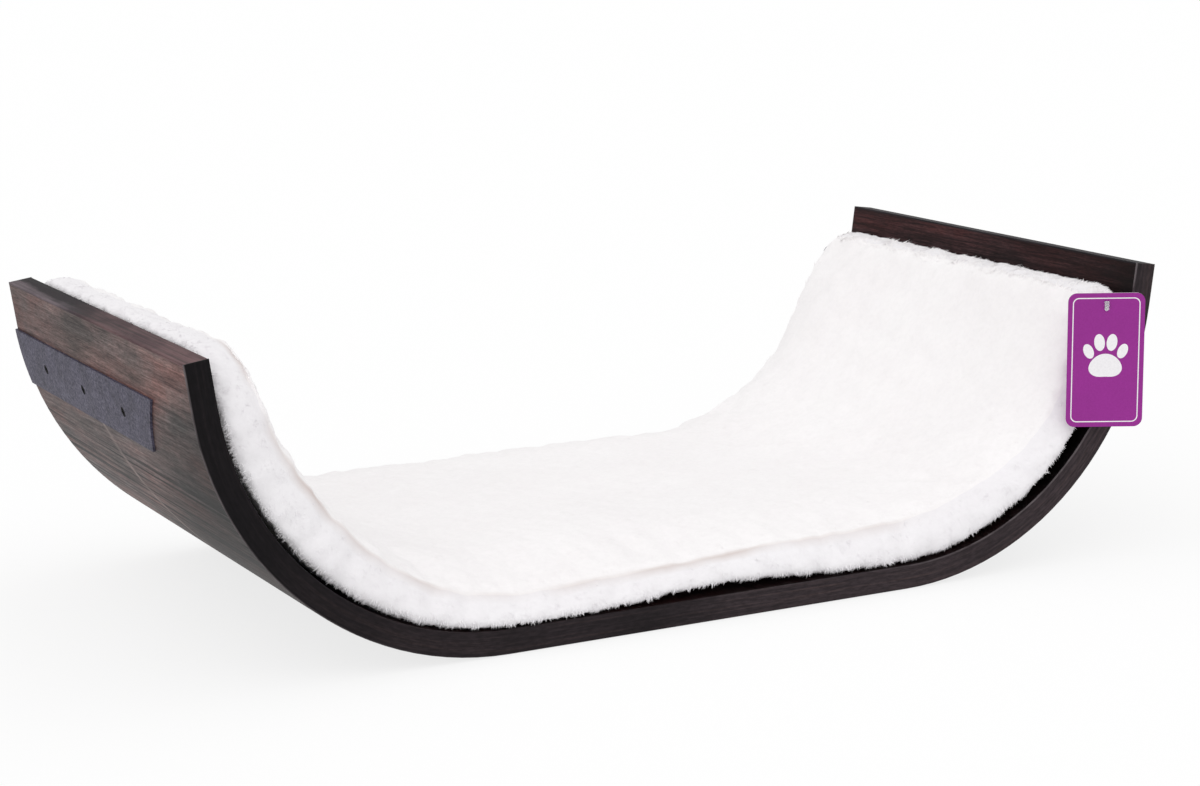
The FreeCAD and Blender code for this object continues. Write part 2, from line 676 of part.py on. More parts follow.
def top_panel_section(sketch):
    """A skin of even thickness from seam to seam over the crown."""
    no_inset = "0"
    thickness = "Sizes.cover_thickness"
    outer = crown_profile(sketch, no_inset)
    place_crown(sketch, outer, no_inset)
    inner = crown_profile(sketch, thickness)
    place_crown(sketch, inner, thickness)
    half = value(SEAM_HALF)
    skin = value(thickness)
    seam = value(SEAM)
    rear_edge = line(sketch, (half, seam), (half - skin, seam))
    front_edge = line(sketch, (-half, seam), (skin - half, seam))
    relate(sketch, "Coincident", rear_edge, 1, outer[0], 1)
    relate(sketch, "Coincident", rear_edge, 2, inner[0], 1)
    relate(sketch, "Coincident", front_edge, 1, outer[2], 2)
    relate(sketch, "Coincident", front_edge, 2, inner[2], 2)


def foam_section(sketch):
    """The pad inside the cover: flat base, upright sides, rounded rims and crown."""
    arcs = crown_profile(sketch, FOAM_INSET)
    place_crown(sketch, arcs, FOAM_INSET)
    half = value(FOAM_HALF)
    bottom = value(FOAM_BOTTOM)
    seam = value(SEAM)
    base = line(sketch, (-half, bottom), (half, bottom))
    rear = line(sketch, (half, bottom), (half, seam))
    front = line(sketch, (-half, bottom), (-half, seam))
    relate(sketch, "Coincident", base, 2, rear, 1)
    relate(sketch, "Coincident", base, 1, front, 1)
    relate(sketch, "Coincident", rear, 2, arcs[0], 1)
    relate(sketch, "Coincident", front, 2, arcs[2], 2)
    relate(sketch, "Vertical", rear)
    relate(sketch, "Vertical", front)
    relate(sketch, "Horizontal", base)
    drive(sketch, FOAM_BOTTOM, "DistanceY", -1, 1, base, 1)


def gusset_section(sketch):
    """The block the boxing strip is cut from: bulging sides drawn in at base and seam, and a crown."""
    arcs = crown_profile(sketch, FOAM_INSET)
    place_crown(sketch, arcs, FOAM_INSET)
    base_half = value(BASE_HALF)
    seam_half = value(SEAM_HALF)
    foam_half = value(FOAM_HALF)
    bottom = value(FOAM_BOTTOM)
    top = value(GUSSET_TOP)
    seam = value(SEAM)
    radius = value(BULGE_RADIUS)
    lean = math.degrees(math.atan2(base_half - seam_half, top - bottom))
    spread = math.degrees(math.asin(value(BULGE_CHORD) / 2 / radius))
    middle = ((base_half + seam_half) / 2, (bottom + top) / 2)
    inward = radius * math.cos(math.radians(spread))
    centre = (middle[0] - inward * math.cos(math.radians(lean)),
              middle[1] - inward * math.sin(math.radians(lean)))
    base = line(sketch, (-base_half, bottom), (base_half, bottom))
    rear = arc(sketch, centre, radius, lean - spread, lean + spread)
    front = arc(sketch, (-centre[0], centre[1]), radius, 180 - lean - spread, 180 - lean + spread)
    rear_ledge = line(sketch, (seam_half, top), (foam_half, seam))
    front_ledge = line(sketch, (-seam_half, top), (-foam_half, seam))
    rear_rim, crown, front_rim = arcs
    crown_curve = sketch.Geometry[crown]
    rear_slope = line(sketch, (foam_half, seam), crown_curve.StartPoint[:2])
    front_slope = line(sketch, (-foam_half, seam), crown_curve.EndPoint[:2])
    for rim in (rear_rim, front_rim):
        sketch.toggleConstruction(rim)
    relate(sketch, "Coincident", base, 2, rear, 1)
    relate(sketch, "Coincident", rear, 2, rear_ledge, 1)
    relate(sketch, "Coincident", rear_ledge, 2, rear_rim, 1)
    relate(sketch, "Coincident", rear_slope, 1, rear_ledge, 2)
    relate(sketch, "Coincident", rear_slope, 2, crown, 1)
    relate(sketch, "Coincident", base, 1, front, 2)
    relate(sketch, "Coincident", front, 1, front_ledge, 1)
    relate(sketch, "Coincident", front_ledge, 2, front_rim, 2)
    relate(sketch, "Coincident", front_slope, 1, front_ledge, 2)
    relate(sketch, "Coincident", front_slope, 2, crown, 2)
    relate(sketch, "Symmetric", base, 1, base, 2, -2)
    relate(sketch, "Symmetric", front_ledge, 1, rear_ledge, 1, -2)
    relate(sketch, "Equal", rear, front)
    drive(sketch, FOAM_BOTTOM, "DistanceY", -1, 1, base, 1)
    drive(sketch, "2 * %s" % BASE_HALF, "DistanceX", base, 1, base, 2)
    drive(sketch, GUSSET_TOP, "DistanceY", -1, 1, rear_ledge, 1)
    drive(sketch, "2 * %s" % SEAM_HALF, "DistanceX", front_ledge, 1, rear_ledge, 1)
    drive(sketch, BULGE_RADIUS, "Radius", rear)


def swept_piece(label, draw_section, trim):
    body = new_body(label)
    section = new_sketch(body, label + "_section", "YZ_Plane")
    draw_section(section)
    sweep(body, label, section, trim)
    body.setExpression("Placement.Base.y", CUSHION_SHIFT)
    return body


def rounded_slab(label, half, low, high, trim, radius):
    """A slab that follows the inner face, its four corners rounded in its own plane."""
    body = new_body(label)
    section = new_sketch(body, label + "_section", "YZ_Plane")
    rectangle(section, half, low, high)
    slab = sweep(body, label, section, trim)
    edge_length = value("%s - %s" % (high, low))
    above_floor = value("Sizes.bend_radius - %s" % high) / 2

    def corner(edge):
        across = abs(edge.Length - edge_length) < SAME and edge.BoundBox.YLength < SAME
        return across and edge.BoundBox.ZMin > above_floor

    body.Tip = fillet(body, label + "_corners", slab, radius, corner)
    body.setExpression("Placement.Base.y", CUSHION_SHIFT)
    return body


def trimmed(label, piece, envelope):
    result = doc.addObject("Part::Common", label)
    result.Base = piece
    result.Tool = envelope
    result.Label = label
    return result


def pin_exit():
    """Where the tag's pin leaves the cushion, on its rounded right front corner."""
    from_end = value("Sizes.right_end_gap + Sizes.pin_end_drop")
    height = value("%s - Sizes.board_thickness - Sizes.pin_seam_drop" % SEAM)
    x, z = on_inner_face(RIGHT, from_end, height)
    return FreeCAD.Vector(x, value("%s - %s" % (CUSHION_SHIFT, PIN_FACE)), z)


def tag_placement():
    """The pin's axis at the tag: the tag hangs here, turned about the upright."""
    turn = FreeCAD.Rotation(FreeCAD.Vector(0, 0, 1), -value("Sizes.tag_yaw"))
    back = turn.multVec(FreeCAD.Vector(0, value("Sizes.pin_reach"), 0))
    return FreeCAD.Placement(pin_exit() - back, turn)


def pin_part(kind, name, places, sizes):
    """A primitive of the pin, in the tag's frame: the pin runs along +Y from the tag."""
    part = doc.addObject(kind, name)
    for field, formula in sizes.items():
        part.setExpression(field, formula)
    part.Placement = tag_placement() * places
    return part


def along_pin(distance):
    turn = FreeCAD.Rotation(FreeCAD.Vector(1, 0, 0), -90)
    return FreeCAD.Placement(FreeCAD.Vector(0, distance, 0), turn)


def make_pin():
    """The pin: a paddle before the tag, a shaft through tag and cover, a bar inside the cushion."""
    paddle_gap = "(Sizes.tag_thickness / 2 + Sizes.pin_paddle_gap)"
    bar_depth = "(Sizes.pin_reach + Sizes.pin_bar_depth)"
    shaft = pin_part("Part::Cylinder", "pin_shaft", along_pin(-value(paddle_gap)), {
        "Radius": "Sizes.pin_diameter / 2",
        "Height": "%s + %s" % (bar_depth, paddle_gap),
    })
    bar = pin_part("Part::Cylinder", "pin_bar", along_pin(value(bar_depth)), {
        "Radius": "Sizes.pin_bar_diameter / 2",
        "Height": "Sizes.pin_bar_length",
    })
    across = FreeCAD.Rotation(FreeCAD.Vector(0, 1, 0), -value("Sizes.bend_angle"))
    half_bar = across.multVec(FreeCAD.Vector(0, 0, value("Sizes.pin_bar_length") / 2))
    bar.Placement = FreeCAD.Placement(bar.Placement.Base - half_bar, across)
    corner = FreeCAD.Vector(-value("Sizes.pin_paddle_width") / 2,
                            -value("%s + Sizes.pin_paddle_thickness" % paddle_gap),
                            -value("Sizes.pin_diameter"))
    paddle = pin_part("Part::Box", "pin_paddle", FreeCAD.Placement(corner, FreeCAD.Rotation()), {
        "Length": "Sizes.pin_paddle_width",
        "Width": "Sizes.pin_paddle_thickness",
        "Height": "Sizes.pin_paddle_height",
    })
    pin = doc.addObject("Part::MultiFuse", "tag_pin")
    pin.Shapes = [shaft, bar, paddle]
    pin.Label = "tag_pin"
    return pin


def make_pin_pocket():
    """The room that the pin's bar takes up in the foam, and its path through the cover."""
    path = pin_part("Part::Cylinder", "pin_path", along_pin(value("Sizes.pin_reach / 2")), {
        "Radius": "Sizes.pin_diameter / 2 + Sizes.cover_clearance",
        "Height": "Sizes.pin_reach",
    })
    room = pin_part("Part::Cylinder", "pin_room", along_pin(value("Sizes.pin_reach")), {
        "Radius": "Sizes.pin_bar_length / 2 + Sizes.cover_clearance",
        "Height": "Sizes.pin_bar_depth + Sizes.pin_bar_length / 2",
    })
    return path, room


def make_tag():
    """The card, hung by a hole near its top edge, corners rounded."""
    body = new_body("hang_tag")
    sketch = new_sketch(body, "hang_tag_outline", "XZ_Plane", "-1 * Sizes.tag_thickness / 2")
    hang = "((Sizes.tag_hole - Sizes.pin_diameter) / 2 - Sizes.tag_rest_gap)"
    top = "(Sizes.tag_hole_drop - %s)" % hang
    rectangle(sketch, "(Sizes.tag_width / 2)", "(%s - Sizes.tag_height)" % top, top)
    circle = Part.Circle(vector(0, -value(hang)), FreeCAD.Vector(0, 0, 1), value("Sizes.tag_hole") / 2)
    hole = sketch.addGeometry(circle, False)
    relate(sketch, "PointOnObject", hole, 3, -2)
    drive(sketch, hang, "DistanceY", hole, 3, -1, 1)
    drive(sketch, "Sizes.tag_hole", "Diameter", hole)
    card = pad(body, "hang_tag_card", sketch, "Sizes.tag_thickness")

    def corner(edge):
        box = edge.BoundBox
        through_card = abs(box.YLength - value("Sizes.tag_thickness")) < SAME and box.XLength < SAME
        return through_card and abs(box.Center.x) > value("Sizes.tag_hole")

    body.Tip = fillet(body, "hang_tag_corners", card, "Sizes.tag_corner", corner)
    body.Placement = tag_placement()
    return body


# Assembly

pieces = {}
board_tools = []
for name, side in SIDES.items():
    placements = screw_placements(side)
    screws = []
    holes = []
    for number, placement in enumerate(placements, start=1):
        screws.append(make_screw("%s_screw_%d" % (name, number), placement))
        holes.extend(make_screw_hole("%s_hole_%d" % (name, number), placement))
    screw_label = name + "_bracket_screws"
    pieces[screw_label] = group(screw_label, screws)
    bracket_label = name + "_wall_bracket"
    pieces[bracket_label] = cut_away(bracket_label, make_bracket(bracket_label, side), holes)
    board_tools.extend(holes)
    band_label = name + "_end_band"
    pieces[band_label] = make_end_band(band_label, side)
    hook_label = name + "_hook_strip"
    hook_outer = "(%s - Sizes.tape_glue)" % INNER_RADIUS
    hook_inner = "(%s - Sizes.strip_thickness)" % hook_outer
    pieces[hook_label] = make_bend_strip(hook_label, side, hook_inner, hook_outer)
    loop_label = name + "_loop_strip"
    loop_inner = "(%s - %s)" % (INNER_RADIUS, TAPE_STACK)
    loop_outer = "(%s + Sizes.strip_thickness)" % loop_inner
    pieces[loop_label] = make_bend_strip(loop_label, side, loop_inner, loop_outer)

pieces["plywood_shell"] = cut_away("plywood_shell", make_board(), board_tools)
front_offset = "(Sizes.board_depth / 2 - Sizes.edge_band)"
pieces["front_edge_band"] = make_long_band("front_edge_band", front_offset, -1)
pieces["rear_edge_band"] = make_long_band("rear_edge_band", "-1 * Sizes.board_depth / 2", 1)

floor_tapes = {
    "hook": "(Sizes.board_thickness + Sizes.tape_glue)",
    "loop": "(%s - Sizes.strip_thickness)" % BASE_BOTTOM,
}
for tape, height in floor_tapes.items():
    label = "floor_%s_strips" % tape
    strips = [make_floor_strip("%s_floor_%s" % (name, tape), side, height)
              for name, side in SIDES.items()]
    pieces[label] = group(label, strips)

path, room = make_pin_pocket()
slab_top = "(%s + Sizes.cover_thickness)" % APEX
cover_half = "(%s + Sizes.gusset_bulge)" % BASE_HALF
cavity_half = "(%s - Sizes.cover_thickness)" % SEAM_HALF
corner = "Sizes.corner_radius"
inner_corner = "Sizes.corner_radius - Sizes.cover_thickness"
at_end = "0"
past_end = "(-1 * Sizes.cover_thickness)"
cover_envelope = rounded_slab("cover_envelope", cover_half, BASE_BOTTOM, slab_top, at_end, corner)
cover_cavity = rounded_slab("cover_cavity", cavity_half, BASE_BOTTOM, slab_top,
                            "Sizes.cover_thickness", inner_corner)
foam_envelope = rounded_slab("foam_envelope", FOAM_HALF, BASE_BOTTOM, slab_top,
                             FOAM_INSET, inner_corner)
top_blank = swept_piece("top_panel_blank", top_panel_section, past_end)
gusset_blank = swept_piece("gusset_blank", gusset_section, past_end)
foam_blank = swept_piece("foam_blank", foam_section, past_end)
gusset_block = trimmed("gusset_block", gusset_blank, cover_envelope)
foam_block = trimmed("foam_block", foam_blank, foam_envelope)
pieces["cushion_top_panel"] = trimmed("cushion_top_panel", top_blank, cover_envelope)
pieces["cushion_gusset"] = cut_away("cushion_gusset", gusset_block, [cover_cavity, path])
pieces["cushion_foam"] = cut_away("cushion_foam", foam_block, [room])
pieces["cushion_base_panel"] = rounded_slab("cushion_base_panel", BASE_HALF, BASE_BOTTOM, BASE_TOP,
                                            at_end, corner)
pieces["tag_pin"] = make_pin()
pieces["hang_tag"] = make_tag()

doc.recompute()

# Checks before anything is written
for item in doc.Objects:
    if "Invalid" in item.State or "Error" in item.State:
        raise RuntimeError("%s failed: %s" % (item.Label, item.State))
for label, piece in pieces.items():
    shape = piece.Shape
    if shape.isNull() or not shape.isValid() or not shape.Solids:
        raise RuntimeError("%s has no valid solid" % label)

os.makedirs("parts", exist_ok=True)
for label, piece in pieces.items():
    piece.Shape.exportStep("parts/%s.step" % label)
    box = piece.Shape.BoundBox
    print("%-22s solids %d volume %.0f  x %.1f %.1f  y %.1f %.1f  z %.1f %.1f" % (
        label, len(piece.Shape.Solids), piece.Shape.Volume,
        box.XMin, box.XMax, box.YMin, box.YMax, box.ZMin, box.ZMax))
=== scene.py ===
import math
from types import SimpleNamespace

import bpy
import numpy as np
from mathutils import Matrix, Vector


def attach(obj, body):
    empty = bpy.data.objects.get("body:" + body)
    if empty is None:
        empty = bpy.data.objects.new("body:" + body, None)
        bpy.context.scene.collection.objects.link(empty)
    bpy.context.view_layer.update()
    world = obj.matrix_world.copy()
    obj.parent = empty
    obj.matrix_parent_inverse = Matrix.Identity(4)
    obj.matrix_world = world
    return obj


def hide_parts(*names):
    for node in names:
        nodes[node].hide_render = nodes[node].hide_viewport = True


# Bent-plywood cat lounger: wood, steel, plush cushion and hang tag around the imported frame.
# Metres, in the frame of the solids: +X to the right, -Y to the room, +Z up.

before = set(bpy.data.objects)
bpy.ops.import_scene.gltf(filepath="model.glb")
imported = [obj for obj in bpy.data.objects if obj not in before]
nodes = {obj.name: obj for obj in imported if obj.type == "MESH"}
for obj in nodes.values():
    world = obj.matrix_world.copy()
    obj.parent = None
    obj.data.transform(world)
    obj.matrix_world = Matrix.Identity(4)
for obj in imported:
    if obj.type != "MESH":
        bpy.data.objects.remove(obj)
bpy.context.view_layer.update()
MM = 0.001

# Sizes of the board
BOARD_HALF_WIDTH = 350 * MM
BOARD_DEPTH = 350 * MM
BOARD_THICKNESS = 16 * MM
BEND_RADIUS = 200 * MM
BEND_ANGLE = math.radians(82)
END_STRAIGHT = 30 * MM
INNER_RADIUS = BEND_RADIUS - BOARD_THICKNESS
FLAT_HALF = BOARD_HALF_WIDTH - BEND_RADIUS * math.sin(BEND_ANGLE) - END_STRAIGHT * math.cos(BEND_ANGLE)
FACE_END = FLAT_HALF + INNER_RADIUS * BEND_ANGLE + END_STRAIGHT


def on_board(run, height):
    """(x, z) at a run along the board's inner face from its middle and a height over that face."""
    run = np.asarray(run, float)
    height = np.asarray(height, float)
    side = np.where(run < 0, -1.0, 1.0)
    past_flat = np.maximum(np.abs(run) - FLAT_HALF, 0)
    angle = np.minimum(past_flat / INNER_RADIUS, BEND_ANGLE)
    straight = np.maximum(past_flat - INNER_RADIUS * BEND_ANGLE, 0)
    flat = np.minimum(np.abs(run), FLAT_HALF)
    reach = INNER_RADIUS - height
    x = side * (flat + reach * np.sin(angle) + straight * math.cos(BEND_ANGLE))
    z = BEND_RADIUS - reach * np.cos(angle) + straight * math.sin(BEND_ANGLE)
    return x, z


def board_frame(places):
    """Directions along and off the board's inner face at some places, their runs and heights over it."""
    side = np.where(places[:, 0] < 0, -1.0, 1.0)
    size = np.abs(places[:, 0])
    beyond = np.maximum(size - FLAT_HALF, 0)
    below = BEND_RADIUS - places[:, 2]
    angle = np.minimum(np.arctan2(beyond, below), BEND_ANGLE)
    height = INNER_RADIUS - beyond * np.sin(angle) - below * np.cos(angle)
    straight = np.maximum(beyond * np.cos(angle) - below * np.sin(angle), 0)
    run = side * (np.minimum(size, FLAT_HALF) + INNER_RADIUS * angle + straight)
    none = np.zeros_like(angle)
    along = np.stack([np.cos(angle), none, side * np.sin(angle)], axis=1)
    off = np.stack([-side * np.sin(angle), none, np.cos(angle)], axis=1)
    return along, off, run, height


def smooth_step(low, high, value):
    share = np.clip((np.asarray(value, float) - low) / (high - low), 0, 1)
    return share * share * (3 - 2 * share)


def waves(places, seed, rate, count=7):
    """A smooth random wave over places, mostly from -1 to 1, with a rate in radians per metre."""
    random = np.random.default_rng(seed)
    total = np.zeros(len(places))
    for _ in range(count):
        direction = random.normal(0, 1, places.shape[1])
        direction *= rate * random.uniform(0.6, 1.5) / np.linalg.norm(direction)
        total += np.sin(places @ direction + random.uniform(0, 2 * math.pi))
    return total / math.sqrt(count)


# Node materials

def new_material(name):
    material = bpy.data.materials.new(name)
    material.use_nodes = True
    tree = material.node_tree
    return material, tree, tree.nodes["Principled BSDF"]


def add(tree, kind, links=None, **settings):
    """A node with its inputs linked or set, and its own settings."""
    made = tree.nodes.new(kind)
    for name, setting in settings.items():
        setattr(made, name, setting)
    for name, source in (links or {}).items():
        if hasattr(source, "is_output"):
            tree.links.new(source, made.inputs[name])
        else:
            made.inputs[name].default_value = source
    return made


def link(tree, source, target):
    tree.links.new(source, target)


def object_coordinates(tree):
    return add(tree, "ShaderNodeTexCoord").outputs["Object"]


def noise(tree, vector, scale, detail=4.0, roughness=0.55, distortion=0.0):
    """Noise with its own number of cells per metre along each axis."""
    stretched = add(tree, "ShaderNodeMapping", {"Vector": vector, "Scale": scale})
    made = add(tree, "ShaderNodeTexNoise", {
        "Vector": stretched.outputs["Vector"], "Scale": 1.0, "Detail": detail,
        "Roughness": roughness, "Distortion": distortion})
    return made.outputs["Fac"]


def ramp(tree, source, stops):
    """Colours or greys along a value, as (place, colour) pairs."""
    made = add(tree, "ShaderNodeValToRGB", {"Fac": source})
    elements = made.color_ramp.elements
    while len(elements) < len(stops):
        elements.new(0.5)
    for element, (place, colour) in zip(elements, stops):
        element.position = place
        element.color = (*colour, 1) if hasattr(colour, "__len__") else (colour, colour, colour, 1)
    return made.outputs["Color"]


def math_node(tree, operation, *sources):
    return add(tree, "ShaderNodeMath", dict(enumerate(sources)), operation=operation).outputs[0]


def mixed(tree, share, first, second, blend="MIX"):
    made = add(tree, "ShaderNodeMix", data_type="RGBA", blend_type=blend)
    for index, source in ((0, share), (6, first), (7, second)):
        if hasattr(source, "is_output"):
            tree.links.new(source, made.inputs[index])
        else:
            made.inputs[index].default_value = (*source, 1) if hasattr(source, "__len__") else source
    return made.outputs[2]


def times(tree, first, second):
    return mixed(tree, 1.0, first, second, "MULTIPLY")


def bump(tree, shader, height, strength, distance):
    made = add(tree, "ShaderNodeBump", {"Height": height, "Strength": strength, "Distance": distance})
    link(tree, made.outputs["Normal"], shader.inputs["Normal"])


def board_coordinates(tree):
    """Run along the board, depth and distance from the bend's centre line, together and one by one."""
    split = add(tree, "ShaderNodeSeparateXYZ", {"Vector": object_coordinates(tree)})
    x, y, z = (split.outputs[k] for k in range(3))
    size = math_node(tree, "ABSOLUTE", x)
    beyond = math_node(tree, "MAXIMUM", math_node(tree, "SUBTRACT", size, FLAT_HALF), 0.0)
    below = math_node(tree, "SUBTRACT", BEND_RADIUS, z)
    angle = math_node(tree, "ARCTAN2", beyond, below)
    flat = math_node(tree, "MINIMUM", size, FLAT_HALF)
    run = math_node(tree, "MULTIPLY_ADD", angle, BEND_RADIUS, flat)
    run = math_node(tree, "MULTIPLY", run, math_node(tree, "SIGN", x))
    bend = math_node(tree, "MINIMUM", angle, BEND_ANGLE)
    radius = math_node(tree, "MULTIPLY_ADD", beyond, math_node(tree, "SINE", bend),
                       math_node(tree, "MULTIPLY", below, math_node(tree, "COSINE", bend)))
    return add(tree, "ShaderNodeCombineXYZ", {0: run, 1: y, 2: radius}).outputs[0], run, y, radius


# Sharp dark grain lines gather at this run of the outer face, around the left bend.
LINED_RUN = -0.345
LINED_HALF = 0.022
# The outer face is darker towards the room and the bottom of the bend.
UP_BEND_RATE = 3.75
UP_BEND_START = -1.125
# The inner face carries painted shade along its front edge, where the cushion shades it, deepest in the right bend:
# it starts, is full, ends.
RIGHT_BEND_SHADE_RUNS = (0.20, 0.28, 0.41, 0.44)
# A light streak runs around the left bend below the bracket, a little slantwise.
STREAK_RUN = -0.3936
STREAK_END = -0.26
STREAK_DEPTH = 0.0272
STREAK_SLOPE = 0.396
STREAK_WIDTH = 5.5 * MM


def veneer_material():
    """Smoked dark veneer: speckled grain along the depth, dark lines, grey and red-brown patches, satin lacquer."""
    material, tree, shader = new_material("dark_veneer")
    place, run, depth, radius = board_coordinates(tree)
    bands = noise(tree, place, (24, 1.3, 24), detail=3, distortion=0.8)
    streaks = noise(tree, place, (260, 10, 70), detail=7, roughness=0.74, distortion=0.6)
    lines = noise(tree, place, (330, 2.6, 60), detail=2, roughness=0.5, distortion=0.2)
    speckle = noise(tree, place, (900, 190, 300), detail=4, roughness=0.7)
    fibres = noise(tree, place, (1300, 45, 300), detail=4, roughness=0.75)
    stains = noise(tree, place, (34, 13, 34), detail=5, roughness=0.62)
    outside = ramp(tree, streaks, [(0.34, (0.110, 0.070, 0.068)), (0.46, (0.225, 0.152, 0.147)),
                                   (0.54, (0.310, 0.216, 0.208)), (0.66, (0.430, 0.316, 0.303))])
    inside = ramp(tree, streaks, [(0.36, (0.024, 0.0095, 0.0105)), (0.50, (0.066, 0.0265, 0.0290)),
                                  (0.64, (0.125, 0.053, 0.055))])
    is_outside = ramp(tree, radius, [(0.190, 0.0), (0.194, 1.0)])
    colour = mixed(tree, is_outside, inside, outside)
    colour = times(tree, colour, ramp(tree, bands, [(0.40, (0.86, 0.95, 0.96)), (0.60, (1.0, 0.86, 0.81))]))
    colour = times(tree, colour, ramp(tree, stains, [(0.37, (1.0, 0.80, 0.77)), (0.50, (0.92, 0.92, 0.92)),
                                                     (0.63, (0.52, 0.59, 0.585))]))
    colour = times(tree, colour, ramp(tree, speckle, [(0.38, 0.62), (0.58, 1.0)]))
    from_lines = math_node(tree, "ABSOLUTE", math_node(tree, "SUBTRACT", run, LINED_RUN))
    lined = ramp(tree, from_lines, [(LINED_HALF, 1.0), (2 * LINED_HALF, 0.18)])
    dark_lines = mixed(tree, lined, (1.0, 1.0, 1.0), ramp(tree, lines, [(0.43, 0.06), (0.49, 1.0)]))
    colour = times(tree, colour, dark_lines)
    colour = times(tree, colour, ramp(tree, fibres, [(0.36, 0.50), (0.60, 1.0)]))
    from_front = math_node(tree, "MULTIPLY_ADD", depth, 1 / BOARD_DEPTH, 0.5)
    # The outer face grows darker towards the room and the bottom of the bend.
    up_bend = math_node(tree, "MULTIPLY_ADD", math_node(tree, "ABSOLUTE", run), UP_BEND_RATE, UP_BEND_START)
    to_back = math_node(tree, "MULTIPLY_ADD", from_front, 0.9, up_bend)
    outer_darkening = ramp(tree, to_back, [(0.30, 0.22), (0.44, 0.32), (0.58, 0.86), (0.72, 1.0), (1.0, 0.80)])
    # Painted shade on the inner face along its front edge, under the cushion's overhang, deepest in the right bend.
    at_front = ramp(tree, from_front, [(0.0, 0.22), (0.09, 0.48), (0.50, 1.0)])
    painted_right_front_shade = ramp(tree, from_front, [(0.0, 0.03), (0.05, 0.08), (0.12, 0.48), (0.50, 1.0)])
    in_right_bend = ramp(tree, run, list(zip(RIGHT_BEND_SHADE_RUNS, (0.0, 1.0, 1.0, 0.0))))
    painted_inner_shade = mixed(tree, in_right_bend, at_front, painted_right_front_shade)
    colour = times(tree, colour, mixed(tree, is_outside, painted_inner_shade, outer_darkening))
    # A light streak around the left bend below the bracket, on the outer face only.
    off_line = math_node(tree, "MULTIPLY_ADD", math_node(tree, "SUBTRACT", run, STREAK_RUN), STREAK_SLOPE,
                         math_node(tree, "SUBTRACT", depth, STREAK_DEPTH))
    off_line = math_node(tree, "MULTIPLY", math_node(tree, "ABSOLUTE", off_line), 1 / STREAK_WIDTH)
    light_streak = ramp(tree, off_line, [(0.0, 1.0), (1.0, 0.0)])
    below_bracket = math_node(tree, "MULTIPLY", math_node(tree, "GREATER_THAN", run, STREAK_RUN),
                              math_node(tree, "LESS_THAN", run, STREAK_END))
    patchy = ramp(tree, noise(tree, place, (70, 70, 70), detail=4), [(0.36, 0.25), (0.64, 0.90)])
    light_streak = math_node(tree, "MULTIPLY", math_node(tree, "MULTIPLY", light_streak, patchy), below_bracket)
    light_streak = math_node(tree, "MULTIPLY", light_streak, is_outside)
    colour = mixed(tree, light_streak, colour, (0.36, 0.285, 0.265))
    link(tree, colour, shader.inputs["Base Color"])
    link(tree, ramp(tree, fibres, [(0.25, 0.56), (0.75, 0.42)]), shader.inputs["Roughness"])
    bump(tree, shader, mixed(tree, 0.5, fibres, dark_lines), 0.4, 0.15 * MM)
    shader.inputs["Specular IOR Level"].default_value = 0.08
    return material


def edge_material():
    """Stained edge band: almost black brown, faint lengthwise streaks, redder and lighter to the right (its
    red-brown tone with painted light), a painted highlight along the arris.
    """
    material, tree, shader = new_material("dark_edge")
    place, run, depth, radius = board_coordinates(tree)
    streaks = noise(tree, place, (9, 9, 520), detail=5, roughness=0.65, distortion=0.3)
    fibres = noise(tree, place, (60, 60, 2400), detail=3, roughness=0.7)
    warm = noise(tree, place, (4, 7, 4), detail=3)
    mottle = noise(tree, place, (170, 170, 620), detail=4, roughness=0.65)
    colour = ramp(tree, streaks, [(0.36, (0.0038, 0.0030, 0.0038)), (0.52, (0.0060, 0.0049, 0.0062)),
                                  (0.66, (0.0105, 0.0080, 0.0096))])
    # Towards the right the band turns red-brown and lighter: its own tone together with painted light.
    reddish_with_light = ramp(tree, streaks, [(0.36, (0.042, 0.0310, 0.0352)), (0.52, (0.058, 0.0430, 0.0480)),
                                   (0.66, (0.084, 0.0580, 0.0590))])
    to_right = math_node(tree, "MULTIPLY_ADD", run, 1 / (2 * FACE_END), 0.5)
    share = math_node(tree, "MULTIPLY", ramp(tree, to_right, [(0.12, 0.05), (0.36, 0.72), (0.80, 1.0)]),
                      ramp(tree, warm, [(0.40, 0.25), (0.60, 1.0)]))
    colour = mixed(tree, share, colour, reddish_with_light)
    colour = times(tree, colour, ramp(tree, fibres, [(0.3, 0.7), (0.7, 1.0)]))
    colour = times(tree, colour, ramp(tree, mottle, [(0.40, 0.66), (0.60, 1.0)]))
    # Painted highlight along the arris that catches the light: the outer one on the left, the inner one on the
    # right, stronger towards the ends and patchy.
    inward = math_node(tree, "SUBTRACT", BEND_RADIUS - BOARD_THICKNESS / 2, radius)
    from_middle = math_node(tree, "MULTIPLY", math_node(tree, "ABSOLUTE", inward), 2 / BOARD_THICKNESS)
    arris = ramp(tree, from_middle, [(0.88, 0.0), (0.97, 1.0)])
    seen = math_node(tree, "GREATER_THAN", math_node(tree, "MULTIPLY", run, inward), 0.0)
    highlight_share = ramp(tree, math_node(tree, "ABSOLUTE", run), [(0.10, 0.15), (0.28, 1.0)])
    patchy = ramp(tree, noise(tree, place, (40, 40, 300), detail=4), [(0.36, 0.15), (0.60, 0.9)])
    arris = math_node(tree, "MULTIPLY", math_node(tree, "MULTIPLY", arris, seen), math_node(tree, "MULTIPLY", highlight_share, patchy))
    colour = mixed(tree, arris, colour, (0.145, 0.125, 0.130))
    link(tree, colour, shader.inputs["Base Color"])
    link(tree, ramp(tree, streaks, [(0.3, 0.38), (0.7, 0.52)]), shader.inputs["Roughness"])
    bump(tree, shader, fibres, 0.3, 0.1 * MM)
    shader.inputs["Specular IOR Level"].default_value = 0.10
    return material


